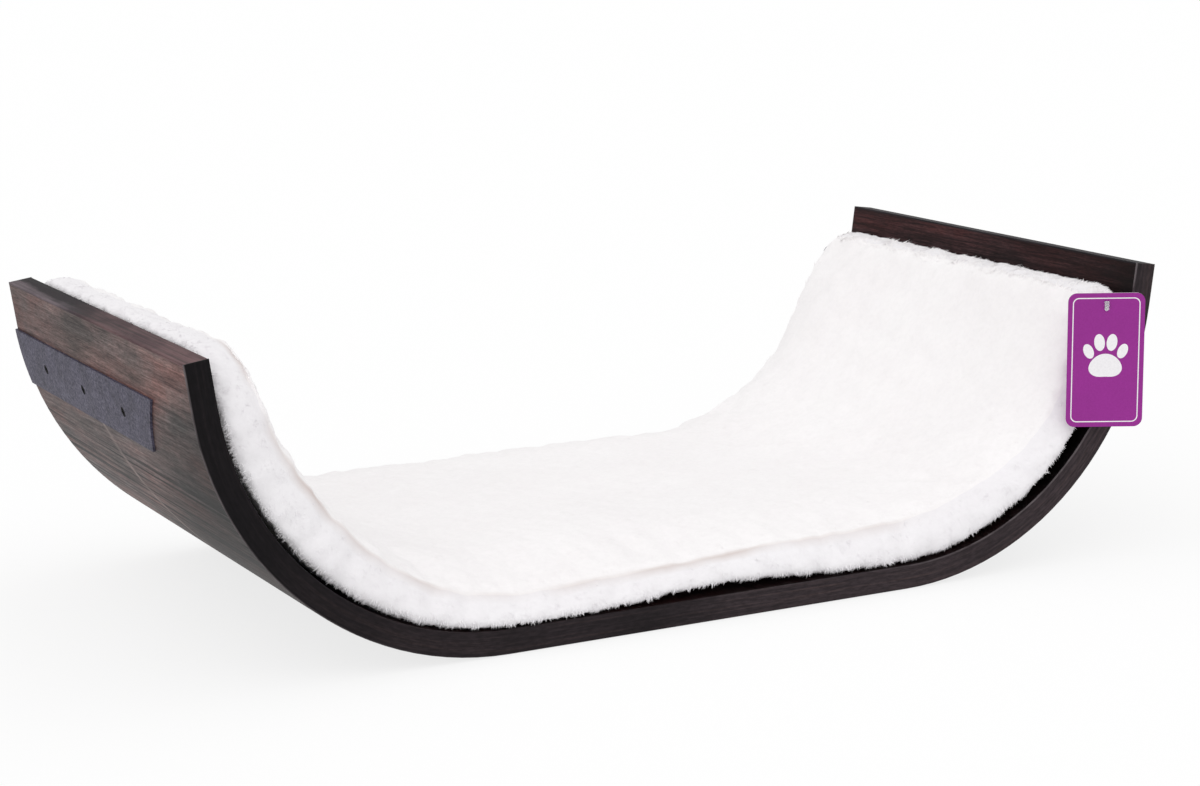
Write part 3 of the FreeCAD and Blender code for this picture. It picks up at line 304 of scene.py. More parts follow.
def end_material(name, front, middle, back, highlight_colour):
    """Stained end band: a colour at the room, the middle and the wall, fine streaks, a painted highlight along the
    outer arris towards the wall.
    """
    material, tree, shader = new_material(name)
    place = object_coordinates(tree)
    split = add(tree, "ShaderNodeSeparateXYZ", {"Vector": place})
    from_front = math_node(tree, "MULTIPLY_ADD", split.outputs[1], 1 / BOARD_DEPTH, 0.5)
    colour = ramp(tree, from_front, [(0.08, front), (0.50, middle), (0.66, back)])
    outward = math_node(tree, "MULTIPLY_ADD", math_node(tree, "ABSOLUTE", split.outputs[0]), 1 / BOARD_THICKNESS,
                        1 - BOARD_HALF_WIDTH / BOARD_THICKNESS)
    drift = noise(tree, place, (90, 14, 90), detail=4, roughness=0.6)
    outward = math_node(tree, "MULTIPLY_ADD", math_node(tree, "SUBTRACT", drift, 0.5), 0.9, outward)
    # Painted highlight: the outer arris is painted pale towards the wall.
    highlight_share = math_node(tree, "MULTIPLY", ramp(tree, outward, [(0.52, 0.0), (0.80, 0.85)]),
                     ramp(tree, from_front, [(0.55, 0.0), (0.70, 1.0)]))
    colour = mixed(tree, highlight_share, colour, highlight_colour)
    streaks = noise(tree, place, (420, 6, 420), detail=6, roughness=0.68, distortion=0.4)
    blots = noise(tree, place, (60, 16, 60), detail=4, roughness=0.6)
    fibres = noise(tree, place, (1800, 40, 1800), detail=3, roughness=0.7)
    colour = times(tree, colour, ramp(tree, streaks, [(0.40, 0.42), (0.58, 1.0)]))
    colour = times(tree, colour, ramp(tree, blots, [(0.40, (0.62, 0.60, 0.64)), (0.56, (1.0, 1.0, 1.0))]))
    colour = times(tree, colour, ramp(tree, fibres, [(0.32, 0.70), (0.68, 1.0)]))
    link(tree, colour, shader.inputs["Base Color"])
    link(tree, ramp(tree, streaks, [(0.3, 0.46), (0.7, 0.60)]), shader.inputs["Roughness"])
    bump(tree, shader, mixed(tree, 0.5, fibres, streaks), 0.4, 0.15 * MM)
    shader.inputs["Specular IOR Level"].default_value = 0.06
    return material


def steel_material():
    """Fine-textured anthracite powder coat."""
    material, tree, shader = new_material("powder_coated_steel")
    place = object_coordinates(tree)
    grain = noise(tree, place, (520, 520, 520), detail=5, roughness=0.7)
    cloud = noise(tree, place, (55, 55, 55), detail=4, roughness=0.6)
    colour = ramp(tree, grain, [(0.38, (0.044, 0.040, 0.064)), (0.50, (0.078, 0.072, 0.110)),
                                (0.62, (0.130, 0.122, 0.172))])
    colour = times(tree, colour, ramp(tree, cloud, [(0.38, 0.70), (0.60, 1.0)]))
    link(tree, colour, shader.inputs["Base Color"])
    link(tree, ramp(tree, grain, [(0.3, 0.58), (0.7, 0.44)]), shader.inputs["Roughness"])
    bump(tree, shader, grain, 0.6, 0.2 * MM)
    shader.inputs["Specular IOR Level"].default_value = 0.10
    return material


def screw_material():
    """Black oxide, a little lighter where a driver has scuffed it."""
    material, tree, shader = new_material("black_screw")
    place = object_coordinates(tree)
    rub = noise(tree, place, (900, 900, 900), detail=4)
    link(tree, ramp(tree, rub, [(0.45, (0.002, 0.002, 0.0025)), (0.70, (0.008, 0.008, 0.009))]),
         shader.inputs["Base Color"])
    link(tree, ramp(tree, rub, [(0.4, 0.7), (0.7, 0.55)]), shader.inputs["Roughness"])
    bump(tree, shader, rub, 0.2, 0.05 * MM)
    shader.inputs["Specular IOR Level"].default_value = 0.05
    return material


# Painted shade with a little warm dirt in the seam crease.
SEAM_SHADE_COLOUR = (0.66, 0.58, 0.555)


def plush_material(name, tint):
    """White short-pile plush: soft sheen, clumped pile with painted shade in its hollows, a faint warm painted
    shade in the seam crease.
    """
    material, tree, shader = new_material(name)
    place = object_coordinates(tree)
    clumps = noise(tree, place, (260, 260, 260), detail=5, roughness=0.7)
    patches = noise(tree, place, (16, 16, 16), detail=3)
    # The low places of the clump relief are painted a little darker: painted shade in the pile's hollows.
    pile = ramp(tree, clumps, [(0.32, tuple(0.965 * part for part in tint)), (0.58, tint)])
    shade = ramp(tree, patches, [(0.35, (0.985, 0.98, 0.982)), (0.65, (1.0, 1.0, 1.0))])
    # The crease attribute paints shade with a little warm dirt along the seam.
    crease = add(tree, "ShaderNodeAttribute", attribute_name="crease").outputs["Fac"]
    colour = mixed(tree, crease, times(tree, pile, shade), SEAM_SHADE_COLOUR)
    link(tree, colour, shader.inputs["Base Color"])
    bump(tree, shader, clumps, 0.22, 0.8 * MM)
    shader.inputs["Roughness"].default_value = 0.95
    shader.inputs["Specular IOR Level"].default_value = 0.1
    shader.inputs["Sheen Weight"].default_value = 0.2
    shader.inputs["Sheen Roughness"].default_value = 0.5
    return material


def woven_material(name, dark, light, threads):
    """Plain weave from two crossed thread waves."""
    material, tree, shader = new_material(name)
    place, run, depth, radius = board_coordinates(tree)
    over = math_node(tree, "SINE", math_node(tree, "MULTIPLY", run, threads))
    under = math_node(tree, "SINE", math_node(tree, "MULTIPLY", depth, threads))
    weave = math_node(tree, "MULTIPLY_ADD", math_node(tree, "MULTIPLY", over, under), 0.5, 0.5)
    slub = noise(tree, place, (300, 40, 40), detail=3)
    colour = ramp(tree, weave, [(0.1, dark), (0.8, light)])
    link(tree, times(tree, colour, ramp(tree, slub, [(0.3, 0.88), (0.7, 1.0)])), shader.inputs["Base Color"])
    bump(tree, shader, weave, 0.5, 0.25 * MM)
    shader.inputs["Roughness"].default_value = 0.9
    shader.inputs["Specular IOR Level"].default_value = 0.2
    return material


def tape_material(name, dark, light):
    """Moulded or brushed tape surface."""
    material, tree, shader = new_material(name)
    place = object_coordinates(tree)
    grain = noise(tree, place, (800, 800, 800), detail=4, roughness=0.7)
    link(tree, ramp(tree, grain, [(0.3, dark), (0.7, light)]), shader.inputs["Base Color"])
    link(tree, ramp(tree, grain, [(0.3, 0.7), (0.7, 0.5)]), shader.inputs["Roughness"])
    bump(tree, shader, grain, 0.4, 0.2 * MM)
    return material


def card_material():
    """Coated purple card: purple on both faces, white core on the cut edge, faint paper texture."""
    material, tree, shader = new_material("purple_card")
    place = object_coordinates(tree)
    geometry = add(tree, "ShaderNodeNewGeometry")
    facing = add(tree, "ShaderNodeVectorMath", {0: geometry.outputs["True Normal"], 1: tuple(TAG_NORMAL)},
                 operation="DOT_PRODUCT").outputs["Value"]
    on_face = math_node(tree, "GREATER_THAN", math_node(tree, "ABSOLUTE", facing), 0.7)
    fibre = noise(tree, place, (900, 900, 900), detail=4)
    cloud = noise(tree, place, (25, 25, 25), detail=3)
    purple = ramp(tree, fibre, [(0.3, (0.285, 0.016, 0.255)), (0.7, (0.320, 0.022, 0.288))])
    purple = times(tree, purple, ramp(tree, cloud, [(0.35, 0.93), (0.65, 1.0)]))
    core = ramp(tree, fibre, [(0.3, (0.72, 0.70, 0.70)), (0.7, (0.86, 0.85, 0.85))])
    link(tree, mixed(tree, on_face, core, purple), shader.inputs["Base Color"])
    link(tree, ramp(tree, cloud, [(0.3, 0.38), (0.7, 0.48)]), shader.inputs["Roughness"])
    bump(tree, shader, fibre, 0.12, 0.04 * MM)
    shader.inputs["Specular IOR Level"].default_value = 0.3
    return material


def ink_material():
    """White print on the card, slightly uneven."""
    material, tree, shader = new_material("white_print")
    fibre = noise(tree, object_coordinates(tree), (900, 900, 900), detail=4)
    link(tree, ramp(tree, fibre, [(0.3, (0.84, 0.82, 0.84)), (0.7, (0.92, 0.90, 0.92))]),
         shader.inputs["Base Color"])
    link(tree, ramp(tree, fibre, [(0.3, 0.4), (0.7, 0.5)]), shader.inputs["Roughness"])
    bump(tree, shader, fibre, 0.1, 0.03 * MM)
    return material


def pin_material():
    """Clear nylon with a faint haze."""
    material, tree, shader = new_material("clear_nylon")
    haze = noise(tree, object_coordinates(tree), (700, 700, 700), detail=3)
    link(tree, ramp(tree, haze, [(0.3, (0.86, 0.87, 0.88)), (0.7, (0.95, 0.96, 0.97))]),
         shader.inputs["Base Color"])
    link(tree, ramp(tree, haze, [(0.3, 0.15), (0.7, 0.3)]), shader.inputs["Roughness"])
    shader.inputs["Transmission Weight"].default_value = 0.7
    shader.inputs["IOR"].default_value = 1.5
    return material


def dress(node, material):
    """The material of a solid that stays in view."""
    target = nodes[node]
    target.data.materials.clear()
    target.data.materials.append(material)


# Meshes

def new_object(name, mesh, material):
    mesh.materials.append(material)
    made = bpy.data.objects.new(name, mesh)
    bpy.context.scene.collection.objects.link(made)
    return made


def new_mesh(name, points, faces, material, smooth=True):
    mesh = bpy.data.meshes.new(name)
    mesh.from_pydata([tuple(point) for point in points], [], [tuple(face) for face in faces])
    mesh.update()
    mesh.polygons.foreach_set("use_smooth", [smooth] * len(mesh.polygons))
    return new_object(name, mesh, material)


def vertex_values(mesh, kind):
    """Places or normals of a mesh's vertices."""
    found = np.empty(len(mesh.vertices) * 3, np.float32)
    mesh.vertices.foreach_get(kind, found)
    return found.reshape(-1, 3).astype(float)


def set_places(mesh, places):
    mesh.vertices.foreach_set("co", np.asarray(places, np.float32).ravel())
    mesh.update()


def unit(vectors):
    return vectors / np.maximum(np.linalg.norm(vectors, axis=1, keepdims=True), 1e-12)


# Cushion: a boxed pad with a pinched seam, swelled by a cloth simulation

CUSHION_LEFT = -(FACE_END - 2 * MM)
CUSHION_RIGHT = FACE_END - 21 * MM
CUSHION_MIDDLE = (CUSHION_LEFT + CUSHION_RIGHT) / 2
CUSHION_HALF_LENGTH = (CUSHION_RIGHT - CUSHION_LEFT) / 2
CUSHION_DEPTH_MIDDLE = 2 * MM
CUSHION_HALF_DEPTH = 169 * MM
CUSHION_CORNER = 22 * MM
LEFT_FRONT_CORNER = 42 * MM
RIGHT_FRONT_CORNER = 13 * MM
BASE_HEIGHT = 3 * MM
BASE_TUCK = 1.0 * MM
BELLY_DROOP = 0.5
SEAM_HEIGHT = 23 * MM
SEAM_TUCK = 2 * MM
FRONT_SEAM_TUCK = 6 * MM
SEAM_WANDER = 0.8 * MM
SEAM_WOBBLE = 0.5 * MM
ROLL_SPREAD = 3 * MM
ROLL_SHARE = 0.45
ROLL_LENGTH = 5 * MM
SLOPE_WIDTH = 60 * MM
CROWN_HEIGHT = 33.5 * MM
CROWN_SOFTNESS = 2 * MM
SEAM_ROLL = 2.5 * MM
BACK_ROLL = 7 * MM
GUSSET_BULGE = 2.5 * MM
PUCKER = 0.7 * MM
PUCKER_REACH = 22 * MM
FOLD = 0.9 * MM
SAG = 1.0 * MM
NUBS = 0.30 * MM
TUFT_SWELLS = 0.35 * MM
CELL = 6 * MM
GUSSET_LEVELS = np.array([0, 0.05, 0.14, 0.30, 0.52, 0.76, 1.0])
GUSSET_ROWS = len(GUSSET_LEVELS) - 1
RIM_STEPS = [0, 1.6 * MM, 4 * MM, 7.5 * MM, 12 * MM]
SWELL_LIMIT = 3.5 * MM
SWELL_FRAMES = 20
# Painted shade with a little warm dirt along the seam crease: its width, strength and patchiness.
CREASE_WIDTH = 1.2 * MM
CREASE_SHADE = 0.58
CREASE_PATCHES = 0.36
TOP, BASE, GUSSET = 0, 1, 2
# Along the front edge: height of the seam, lift of the lower edge and bulge of the gusset, in mm.
FRONT_RUNS = [-0.44, -0.38, -0.34, -0.30, -0.26, -0.21, -0.16, -0.125, -0.09, -0.06, -0.025, 0.01, 0.045,
              0.09, 0.13, 0.17, 0.22, 0.30, 0.38, 0.42]
FRONT_SEAM = [27, 32.7, 35.8, 35.5, 31.2, 26.3, 20.8, 17.2, 18, 19.2, 21.6, 22.8, 24.8,
              24.5, 26.8, 29.5, 31, 26, 25, 24]
FRONT_LIFT = [0, 1, 2, 1.5, 0, -1.5, -2, -2, -2, -1, 2, 3, 1.5,
              -1.5, -2, -1.5, 0.5, 2.5, 3, 1]
FRONT_BULGE = [2, 2.5, 3, 4, 5.5, 7.5, 9.5, 10, 10, 8.5, 6, 5, 6,
               8.5, 8.5, 7.5, 6.5, 5.5, 4, 2]
# Along the back edge: height of the top, which stands off the board in the right bend, in mm.
BACK_RUNS = [0.12, 0.20, 0.25, 0.28, 0.32, 0.345, 0.37, 0.395, 0.413, 0.42]
BACK_CROWN = [33.5, 34.5, 37, 39, 42.5, 43.5, 42.5, 38, 33, 32]


def graded(half):
    """Places from -half to half: fine steps at both rims, even cells between."""
    inner = half - RIM_STEPS[-1]
    count = max(2, round(2 * inner / CELL))
    middle = np.linspace(-inner, inner, count + 1)
    rim = np.array([half - step for step in RIM_STEPS[:-1]])
    return np.concatenate([-rim, middle, rim[::-1]])


def rounded_corner(run, depth):
    """Pull the square corners of the pad in to quarter circles, the left front one widest."""
    front_corner = np.where(run < 0, LEFT_FRONT_CORNER, RIGHT_FRONT_CORNER)
    corner = np.where(depth < 0, front_corner, CUSHION_CORNER)
    run_start = CUSHION_HALF_LENGTH - corner
    depth_start = CUSHION_HALF_DEPTH - corner
    over_run = np.abs(run) - run_start
    over_depth = np.abs(depth) - depth_start
    in_corner = (over_run > 0) & (over_depth > 0)
    pull = np.maximum(over_run, over_depth) / np.maximum(np.hypot(over_run, over_depth), 1e-9)
    new_run = np.where(in_corner, np.sign(run) * (run_start + over_run * pull), run)
    new_depth = np.where(in_corner, np.sign(depth) * (depth_start + over_depth * pull), depth)
    return new_run, new_depth


def cushion_grid():
    """A closed box grid: grid places of its points, its faces and the zone of each face."""
    runs = graded(CUSHION_HALF_LENGTH)
    depths = graded(CUSHION_HALF_DEPTH)
    last_i = len(runs) - 1
    last_j = len(depths) - 1
    index = {}

    def point(*key):
        return index.setdefault(key, len(index))

    faces = []
    zones = []
    for k, order, zone in ((0, 1, BASE), (GUSSET_ROWS, -1, TOP)):
        for i in range(last_i):
            for j in range(last_j):
                square = [point(i, j, k), point(i, j + 1, k), point(i + 1, j + 1, k), point(i + 1, j, k)]
                faces.append(square[::order])
                zones.append(zone)
    border = [(i, 0) for i in range(last_i)] + [(last_i, j) for j in range(last_j)]
    border += [(i, last_j) for i in range(last_i, 0, -1)] + [(0, j) for j in range(last_j, 0, -1)]
    for k in range(GUSSET_ROWS):
        for here, following in zip(border, border[1:] + border[:1]):
            faces.append([point(*here, k), point(*following, k), point(*following, k + 1), point(*here, k + 1)])
            zones.append(GUSSET)
    keys = np.array(list(index))
    return runs[keys[:, 0]], depths[keys[:, 1]], keys[:, 2], faces, zones


def cushion_form():
    """The pad before it swells: points, faces, zones, how firmly each point is held, and the seam's painted shade.
    """
    run, depth, row, faces, zones = cushion_grid()
    level = GUSSET_LEVELS[row]
    edge_run = CUSHION_HALF_LENGTH - np.abs(run)
    edge_depth = CUSHION_HALF_DEPTH - np.abs(depth)
    edge = np.minimum(edge_run, edge_depth)
    on_top = row == GUSSET_ROWS
    on_base = row == 0
    run, depth = rounded_corner(run, depth)
    spot = run + CUSHION_MIDDLE
    flat_place = np.stack([spot, depth], axis=1)
    frontness = smooth_step(0.02, -CUSHION_HALF_DEPTH, depth)

    back_crown = np.interp(spot, BACK_RUNS, BACK_CROWN) * MM
    at_back = smooth_step(0.05, CUSHION_HALF_DEPTH, depth) * smooth_step(BACK_RUNS[0], BACK_RUNS[1], spot)
    seam = SEAM_HEIGHT + frontness * (np.interp(spot, FRONT_RUNS, FRONT_SEAM) * MM - SEAM_HEIGHT)
    seam = seam + at_back * (back_crown - BACK_ROLL - seam)
    seam = seam + SEAM_WANDER * waves(flat_place, 3, 40) + SEAM_WOBBLE * waves(flat_place, 4, 230)
    lift = np.interp(spot, FRONT_RUNS, FRONT_LIFT) * MM
    base = BASE_HEIGHT + lift * smooth_step(-0.07, -CUSHION_HALF_DEPTH, depth)

    along_rim = np.where(edge_run < edge_depth, depth, run)[:, None]
    off_corner = smooth_step(0, 20 * MM, np.abs(edge_run - edge_depth))
    pucker = PUCKER * off_corner * waves(along_rim, 5, 260)
    at_front = smooth_step(-0.10, -CUSHION_HALF_DEPTH, depth)
    bulge = GUSSET_BULGE + at_front * (np.interp(spot, FRONT_RUNS, FRONT_BULGE) * MM - GUSSET_BULGE)
    belly = np.sin(math.pi * level ** BELLY_DROOP)
    seam_tuck = SEAM_TUCK + at_front * (FRONT_SEAM_TUCK - SEAM_TUCK)
    gusset_tuck = seam_tuck * level ** 3 + BASE_TUCK * (1 - level) ** 2 - (bulge + pucker) * belly
    top_tuck = seam_tuck * np.exp(-edge / ROLL_SPREAD)
    tuck = np.where(on_top, top_tuck, np.where(on_base, BASE_TUCK, gusset_tuck))

    bends = smooth_step(0.10, 0.20, np.abs(spot)) * (1 - smooth_step(0.34, 0.42, np.abs(spot)))
    crown = CROWN_HEIGHT + smooth_step(0.0, 0.15, depth) * (back_crown - CROWN_HEIGHT)
    crown = crown + SAG * waves(flat_place, 11, 45)
    crown = crown + FOLD * bends * waves(flat_place * (1.0, 0.3), 12, 150)
    crown = crown + CROWN_SOFTNESS * np.logaddexp(0, (seam + SEAM_ROLL - crown) / CROWN_SOFTNESS)
    rise = ROLL_SHARE * (1 - np.exp(-edge / ROLL_LENGTH)) + (1 - ROLL_SHARE) * smooth_step(0, SLOPE_WIDTH, edge)
    near_seam = np.exp(-edge / PUCKER_REACH) * (1 - np.exp(-edge / ROLL_SPREAD))
    top = seam + (crown - seam) * rise + pucker * near_seam
    height = np.where(on_top, top, base + (seam - base) * level)

    run = run * (1 - tuck / CUSHION_HALF_LENGTH)
    depth = depth * (1 - tuck / CUSHION_HALF_DEPTH)
    x, z = on_board(run + CUSHION_MIDDLE, height)
    places = np.stack([x, depth + CUSHION_DEPTH_MIDDLE, z], axis=1)
    on_seam = on_top & (edge < 1e-6)
    near_base = ~on_top & (level < 0.25)
    held = np.where(on_base | on_seam, 1.0, np.where(near_base, 0.8, 0.0))
    # Painted shade with a little warm dirt on both sides of the seam along the front, fading towards the right.
    from_seam = np.where(on_top, edge, (seam - base) * (1 - level))
    crease = np.where(on_base, 0, np.exp(-(from_seam / CREASE_WIDTH) ** 2))
    crease = crease * smooth_step(-0.10, -0.14, depth) * (1 - smooth_step(0.06, 0.24, spot))
    crease = crease * (CREASE_SHADE + CREASE_PATCHES * waves(flat_place, 6, 90))
    crease = np.maximum(crease, 0)
    return places, faces, zones, held, crease


def swell(piece, held, limit):
    """Blow the cover up from inside by a cloth simulation, held at base and seam, up to a limit."""
    group = piece.vertex_groups.new(name="held")
    for index in np.flatnonzero(held > 0):
        group.add([int(index)], float(held[index]), "REPLACE")
    before = vertex_values(piece.data, "co")
    cloth = piece.modifiers.new("cover", "CLOTH")
    settings = cloth.settings
    settings.quality = 6
    settings.mass = 0.3
    settings.tension_stiffness = 12
    settings.compression_stiffness = 12
    settings.shear_stiffness = 4
    settings.bending_stiffness = 0.4
    settings.use_pressure = True
    settings.uniform_pressure_force = 4.0
    settings.shrink_min = -0.02
    settings.vertex_group_mass = "held"
    settings.effector_weights.gravity = 0
    cloth.collision_settings.use_collision = False
    cloth.point_cache.frame_start = 1
    cloth.point_cache.frame_end = SWELL_FRAMES
    scene = bpy.context.scene
    for step in range(1, SWELL_FRAMES + 1):
        scene.frame_set(step)
    graph = bpy.context.evaluated_depsgraph_get()
    after = vertex_values(piece.evaluated_get(graph).data, "co")
    piece.modifiers.remove(cloth)
    scene.frame_set(1)
    shift = after - before
    length = np.linalg.norm(shift, axis=1, keepdims=True)
    capped = limit * np.tanh(length / limit)
    set_places(piece.data, before + shift * capped / np.maximum(length, 1e-9))
    piece.vertex_groups.clear()


def subdivide(piece):
    """One smooth subdivision made into the piece's mesh."""
    finer = piece.modifiers.new("finer", "SUBSURF")
    finer.levels = 1
    finer.render_levels = 1
    graph = bpy.context.evaluated_depsgraph_get()
    mesh = bpy.data.meshes.new_from_object(piece.evaluated_get(graph))
    piece.modifiers.clear()
    piece.data = mesh


def roughen(mesh):
    """Small uneven swells of the plush on top and gusset."""
    material_of = np.empty(len(mesh.polygons), np.int32)
    mesh.polygons.foreach_get("material_index", material_of)
    plush_points = np.ones(len(mesh.vertices))
    for polygon in np.flatnonzero(material_of == BASE):
        plush_points[list(mesh.polygons[int(polygon)].vertices)] = 0
    places = vertex_values(mesh, "co")
    amount = NUBS * waves(places, 31, 720, 12) + TUFT_SWELLS * waves(places, 32, 300, 9)
    set_places(mesh, places + vertex_values(mesh, "normal") * (amount * plush_points)[:, None])


def make_cushion(plush, cloth, gusset_plush_painted_shade):
    places, faces, zones, held, crease = cushion_form()
    cushion = new_mesh("cushion_cover", places, faces, plush)
    cushion.data.attributes.new("crease", "FLOAT", "POINT").data.foreach_set("value", crease.astype(np.float32))
    cushion.data.materials.append(cloth)
    cushion.data.materials.append(gusset_plush_painted_shade)
    cushion.data.polygons.foreach_set("material_index", np.array(zones, np.int32))
    swell(cushion, held, SWELL_LIMIT)
    subdivide(cushion)
    roughen(cushion.data)
    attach(cushion, "cushion")
    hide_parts("cushion_foam", "cushion_top_panel", "cushion_gusset", "cushion_base_panel")
    return cushion


# Pile: flat closed tufts rooted in the cover, combed one way and leaning

PILE_ROOT = 0.5 * MM
PILE_CLEARANCE = 0.3 * MM
PILE_FLATNESS = 0.3
TUFT_FACES = ((0, 1, 3), (1, 2, 3), (2, 0, 3), (0, 2, 1))
FRINGE_BAND = 6 * MM
FRINGE_HEIGHT = 14 * MM
HEM_HEIGHT = 9 * MM
FRONT_DEPTH = -0.12
CREASE_CLEAR = 0.25
NAP_BACK = 0.85


def down_nap(along, off, run):
    """Pile that hangs down the gusset."""
    return -off


def back_nap(along, off, run):
    """Pile combed to the back, and out over the ends."""
    to_end = smooth_step(0.15, CUSHION_HALF_LENGTH, np.abs(run)) * np.sign(run)
    return to_end[:, None] * along + np.array((0, NAP_BACK, 0))


def end_nap(along, off, run):
    """Pile that stands out over the ends."""
    return np.sign(run)[:, None] * along


def on_gusset(face):
    return (face.zone == GUSSET) & (face.crease < CREASE_CLEAR)


def on_top(face):
    return (face.zone == TOP) & (face.crease < CREASE_CLEAR)


def on_right_end(face):
    return (face.zone != BASE) & (face.run > 0) & (face.end < FRINGE_BAND) & (face.height > FRINGE_HEIGHT)


def on_front_hem(face):
    return (face.zone == GUSSET) & (face.depth < FRONT_DEPTH) & (face.height < HEM_HEIGHT)


def surface_samples(mesh, wanted, count, random):
    """Random places on the wanted faces of the cover, with normals."""
    mesh.calc_loop_triangles()
    triangles = np.array([(*item.vertices, item.polygon_index) for item in mesh.loop_triangles])
    zone = np.empty(len(mesh.polygons), np.int32)
    mesh.polygons.foreach_get("material_index", zone)
    places = vertex_values(mesh, "co")
    crease = np.empty(len(places), np.float32)
    mesh.attributes["crease"].data.foreach_get("value", crease)
    middles = places[triangles[:, :3]].mean(1)
    along, off, run, height = board_frame(middles)
    face = SimpleNamespace(zone=zone[triangles[:, 3]], run=run, depth=middles[:, 1], height=height,
                           end=CUSHION_HALF_LENGTH - np.abs(run - CUSHION_MIDDLE),
                           crease=crease[triangles[:, :3]].mean(1))
    triangles = triangles[wanted(face)][:, :3]
    normals = vertex_values(mesh, "normal")
    first, second, third = (places[triangles[:, k]] for k in range(3))
    area = np.linalg.norm(np.cross(second - first, third - first), axis=1)
    chosen = random.choice(len(triangles), count, p=area / area.sum())
    one, two = random.random((2, count))
    flip = one + two > 1
    one = np.where(flip, 1 - one, one)
    two = np.where(flip, 1 - two, two)
    weights = np.stack([1 - one - two, one, two], axis=1)[:, :, None]
    corner = triangles[chosen]
    return (places[corner] * weights).sum(1), unit((normals[corner] * weights).sum(1))


def make_pile(name, mesh, wanted, nap_of, count, length, width, lean, seed, material):
    """Tufts over the wanted faces; lean is the lowest and highest angle off the cover, in degrees."""
    random = np.random.default_rng(seed)
    spots, normals = surface_samples(mesh, wanted, count, random)
    along, off, run, height = board_frame(spots)
    nap = nap_of(along, off, run)
    combed = unit(nap - (nap * normals).sum(1, keepdims=True) * normals)
    across = np.cross(normals, combed)
    turn = 0.8 * waves(spots, seed + 1, 330) + 0.5 * waves(spots, seed + 2, 900) + random.normal(0, 0.35, count)
    flat = combed * np.cos(turn)[:, None] + across * np.sin(turn)[:, None]
    angle = np.radians(random.uniform(*lean, (count, 1)))
    direction = normals * np.sin(angle) + flat * np.cos(angle)
    beside = unit(np.cross(direction, normals))
    over = np.cross(beside, direction)
    tall = length * random.uniform(0.6, 1.25, (count, 1)) * (1 + 0.25 * waves(spots, seed + 3, 500))[:, None]
    wide = width * random.uniform(0.7, 1.3, (count, 1))
    root = spots - normals * PILE_ROOT
    corners = [root + wide * beside, root - wide * beside, root + PILE_FLATNESS * wide * over]
    tip = root + direction * (tall + PILE_ROOT)
    along, off, run, height = board_frame(tip)
    tip = tip + off * np.maximum(PILE_CLEARANCE - height, 0)[:, None]
    points = np.stack([*corners, tip], axis=1).reshape(-1, 3)
    start = 4 * np.arange(count)[:, None]
    faces = np.concatenate([start + np.array(face) for face in TUFT_FACES])
    made = bpy.data.meshes.new(name)
    made.vertices.add(len(points))
    made.vertices.foreach_set("co", points.astype(np.float32).ravel())
    made.loops.add(3 * len(faces))
    made.loops.foreach_set("vertex_index", faces.astype(np.int32).ravel())
    made.polygons.add(len(faces))
    made.polygons.foreach_set("loop_start", 3 * np.arange(len(faces), dtype=np.int32))
    made.polygons.foreach_set("use_smooth", [False] * len(faces))
    made.update(calc_edges=True)
    piece = new_object(name, made, material)
    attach(piece, "cushion")
    return piece


# Hook and loop tape

TAPE_WIDTH = 25 * MM
TAPE_LENGTH = 240 * MM
BEND_TAPE_RUN = FLAT_HALF + INNER_RADIUS * math.radians(58)
FLOOR_TAPE_RUN = 0.64 * FLAT_HALF
HOOK_BASE_TOP = 1.3 * MM
HOOK_TIP = 1.95 * MM
LOOP_BASE_LOW = 2.5 * MM
LOOP_TIP = 2.0 * MM
LOOP_BASE_HIGH = 3.2 * MM
STUD_ROOT = 0.1 * MM
HOOK_PITCH = 2.4 * MM
LOOP_PITCH = 2.0 * MM


def ribbon(middle_run, low, high, first_index):
    """A closed strip of tape between two heights over the board, its long edges rounded."""
    across = np.linspace(-1, 1, 11)
    along = np.linspace(-TAPE_LENGTH / 2, TAPE_LENGTH / 2, 41)
    edge = np.sqrt(np.maximum(1 - np.abs(across) ** 8, 0.04))
    centre = (low + high) / 2
    points = []
    for sign in (-1, 1):
        heights = centre + sign * (high - low) / 2 * edge
        for y in along:
            x, z = on_board(middle_run + across * TAPE_WIDTH / 2, heights)
            points.extend(zip(x, np.full_like(x, y), z))
    wide = len(across)
    rows = len(along)
    layer = wide * rows
    faces = []
    for j in range(rows - 1):
        for i in range(wide - 1):
            a = j * wide + i
            faces.append((a, a + wide, a + wide + 1, a + 1))
            faces.append((layer + a, layer + a + 1, layer + a + wide + 1, layer + a + wide))
    for j in (0, rows - 1):
        for i in range(wide - 1):
            a = j * wide + i
            side = (a, a + 1, layer + a + 1, layer + a)
            faces.append(side if j == 0 else side[::-1])
    for i in (0, wide - 1):
        for j in range(rows - 1):
            a = j * wide + i
            side = (a, layer + a, layer + a + wide, a + wide)
            faces.append(side if i == 0 else side[::-1])
    return points, [tuple(first_index + k for k in face) for face in faces]


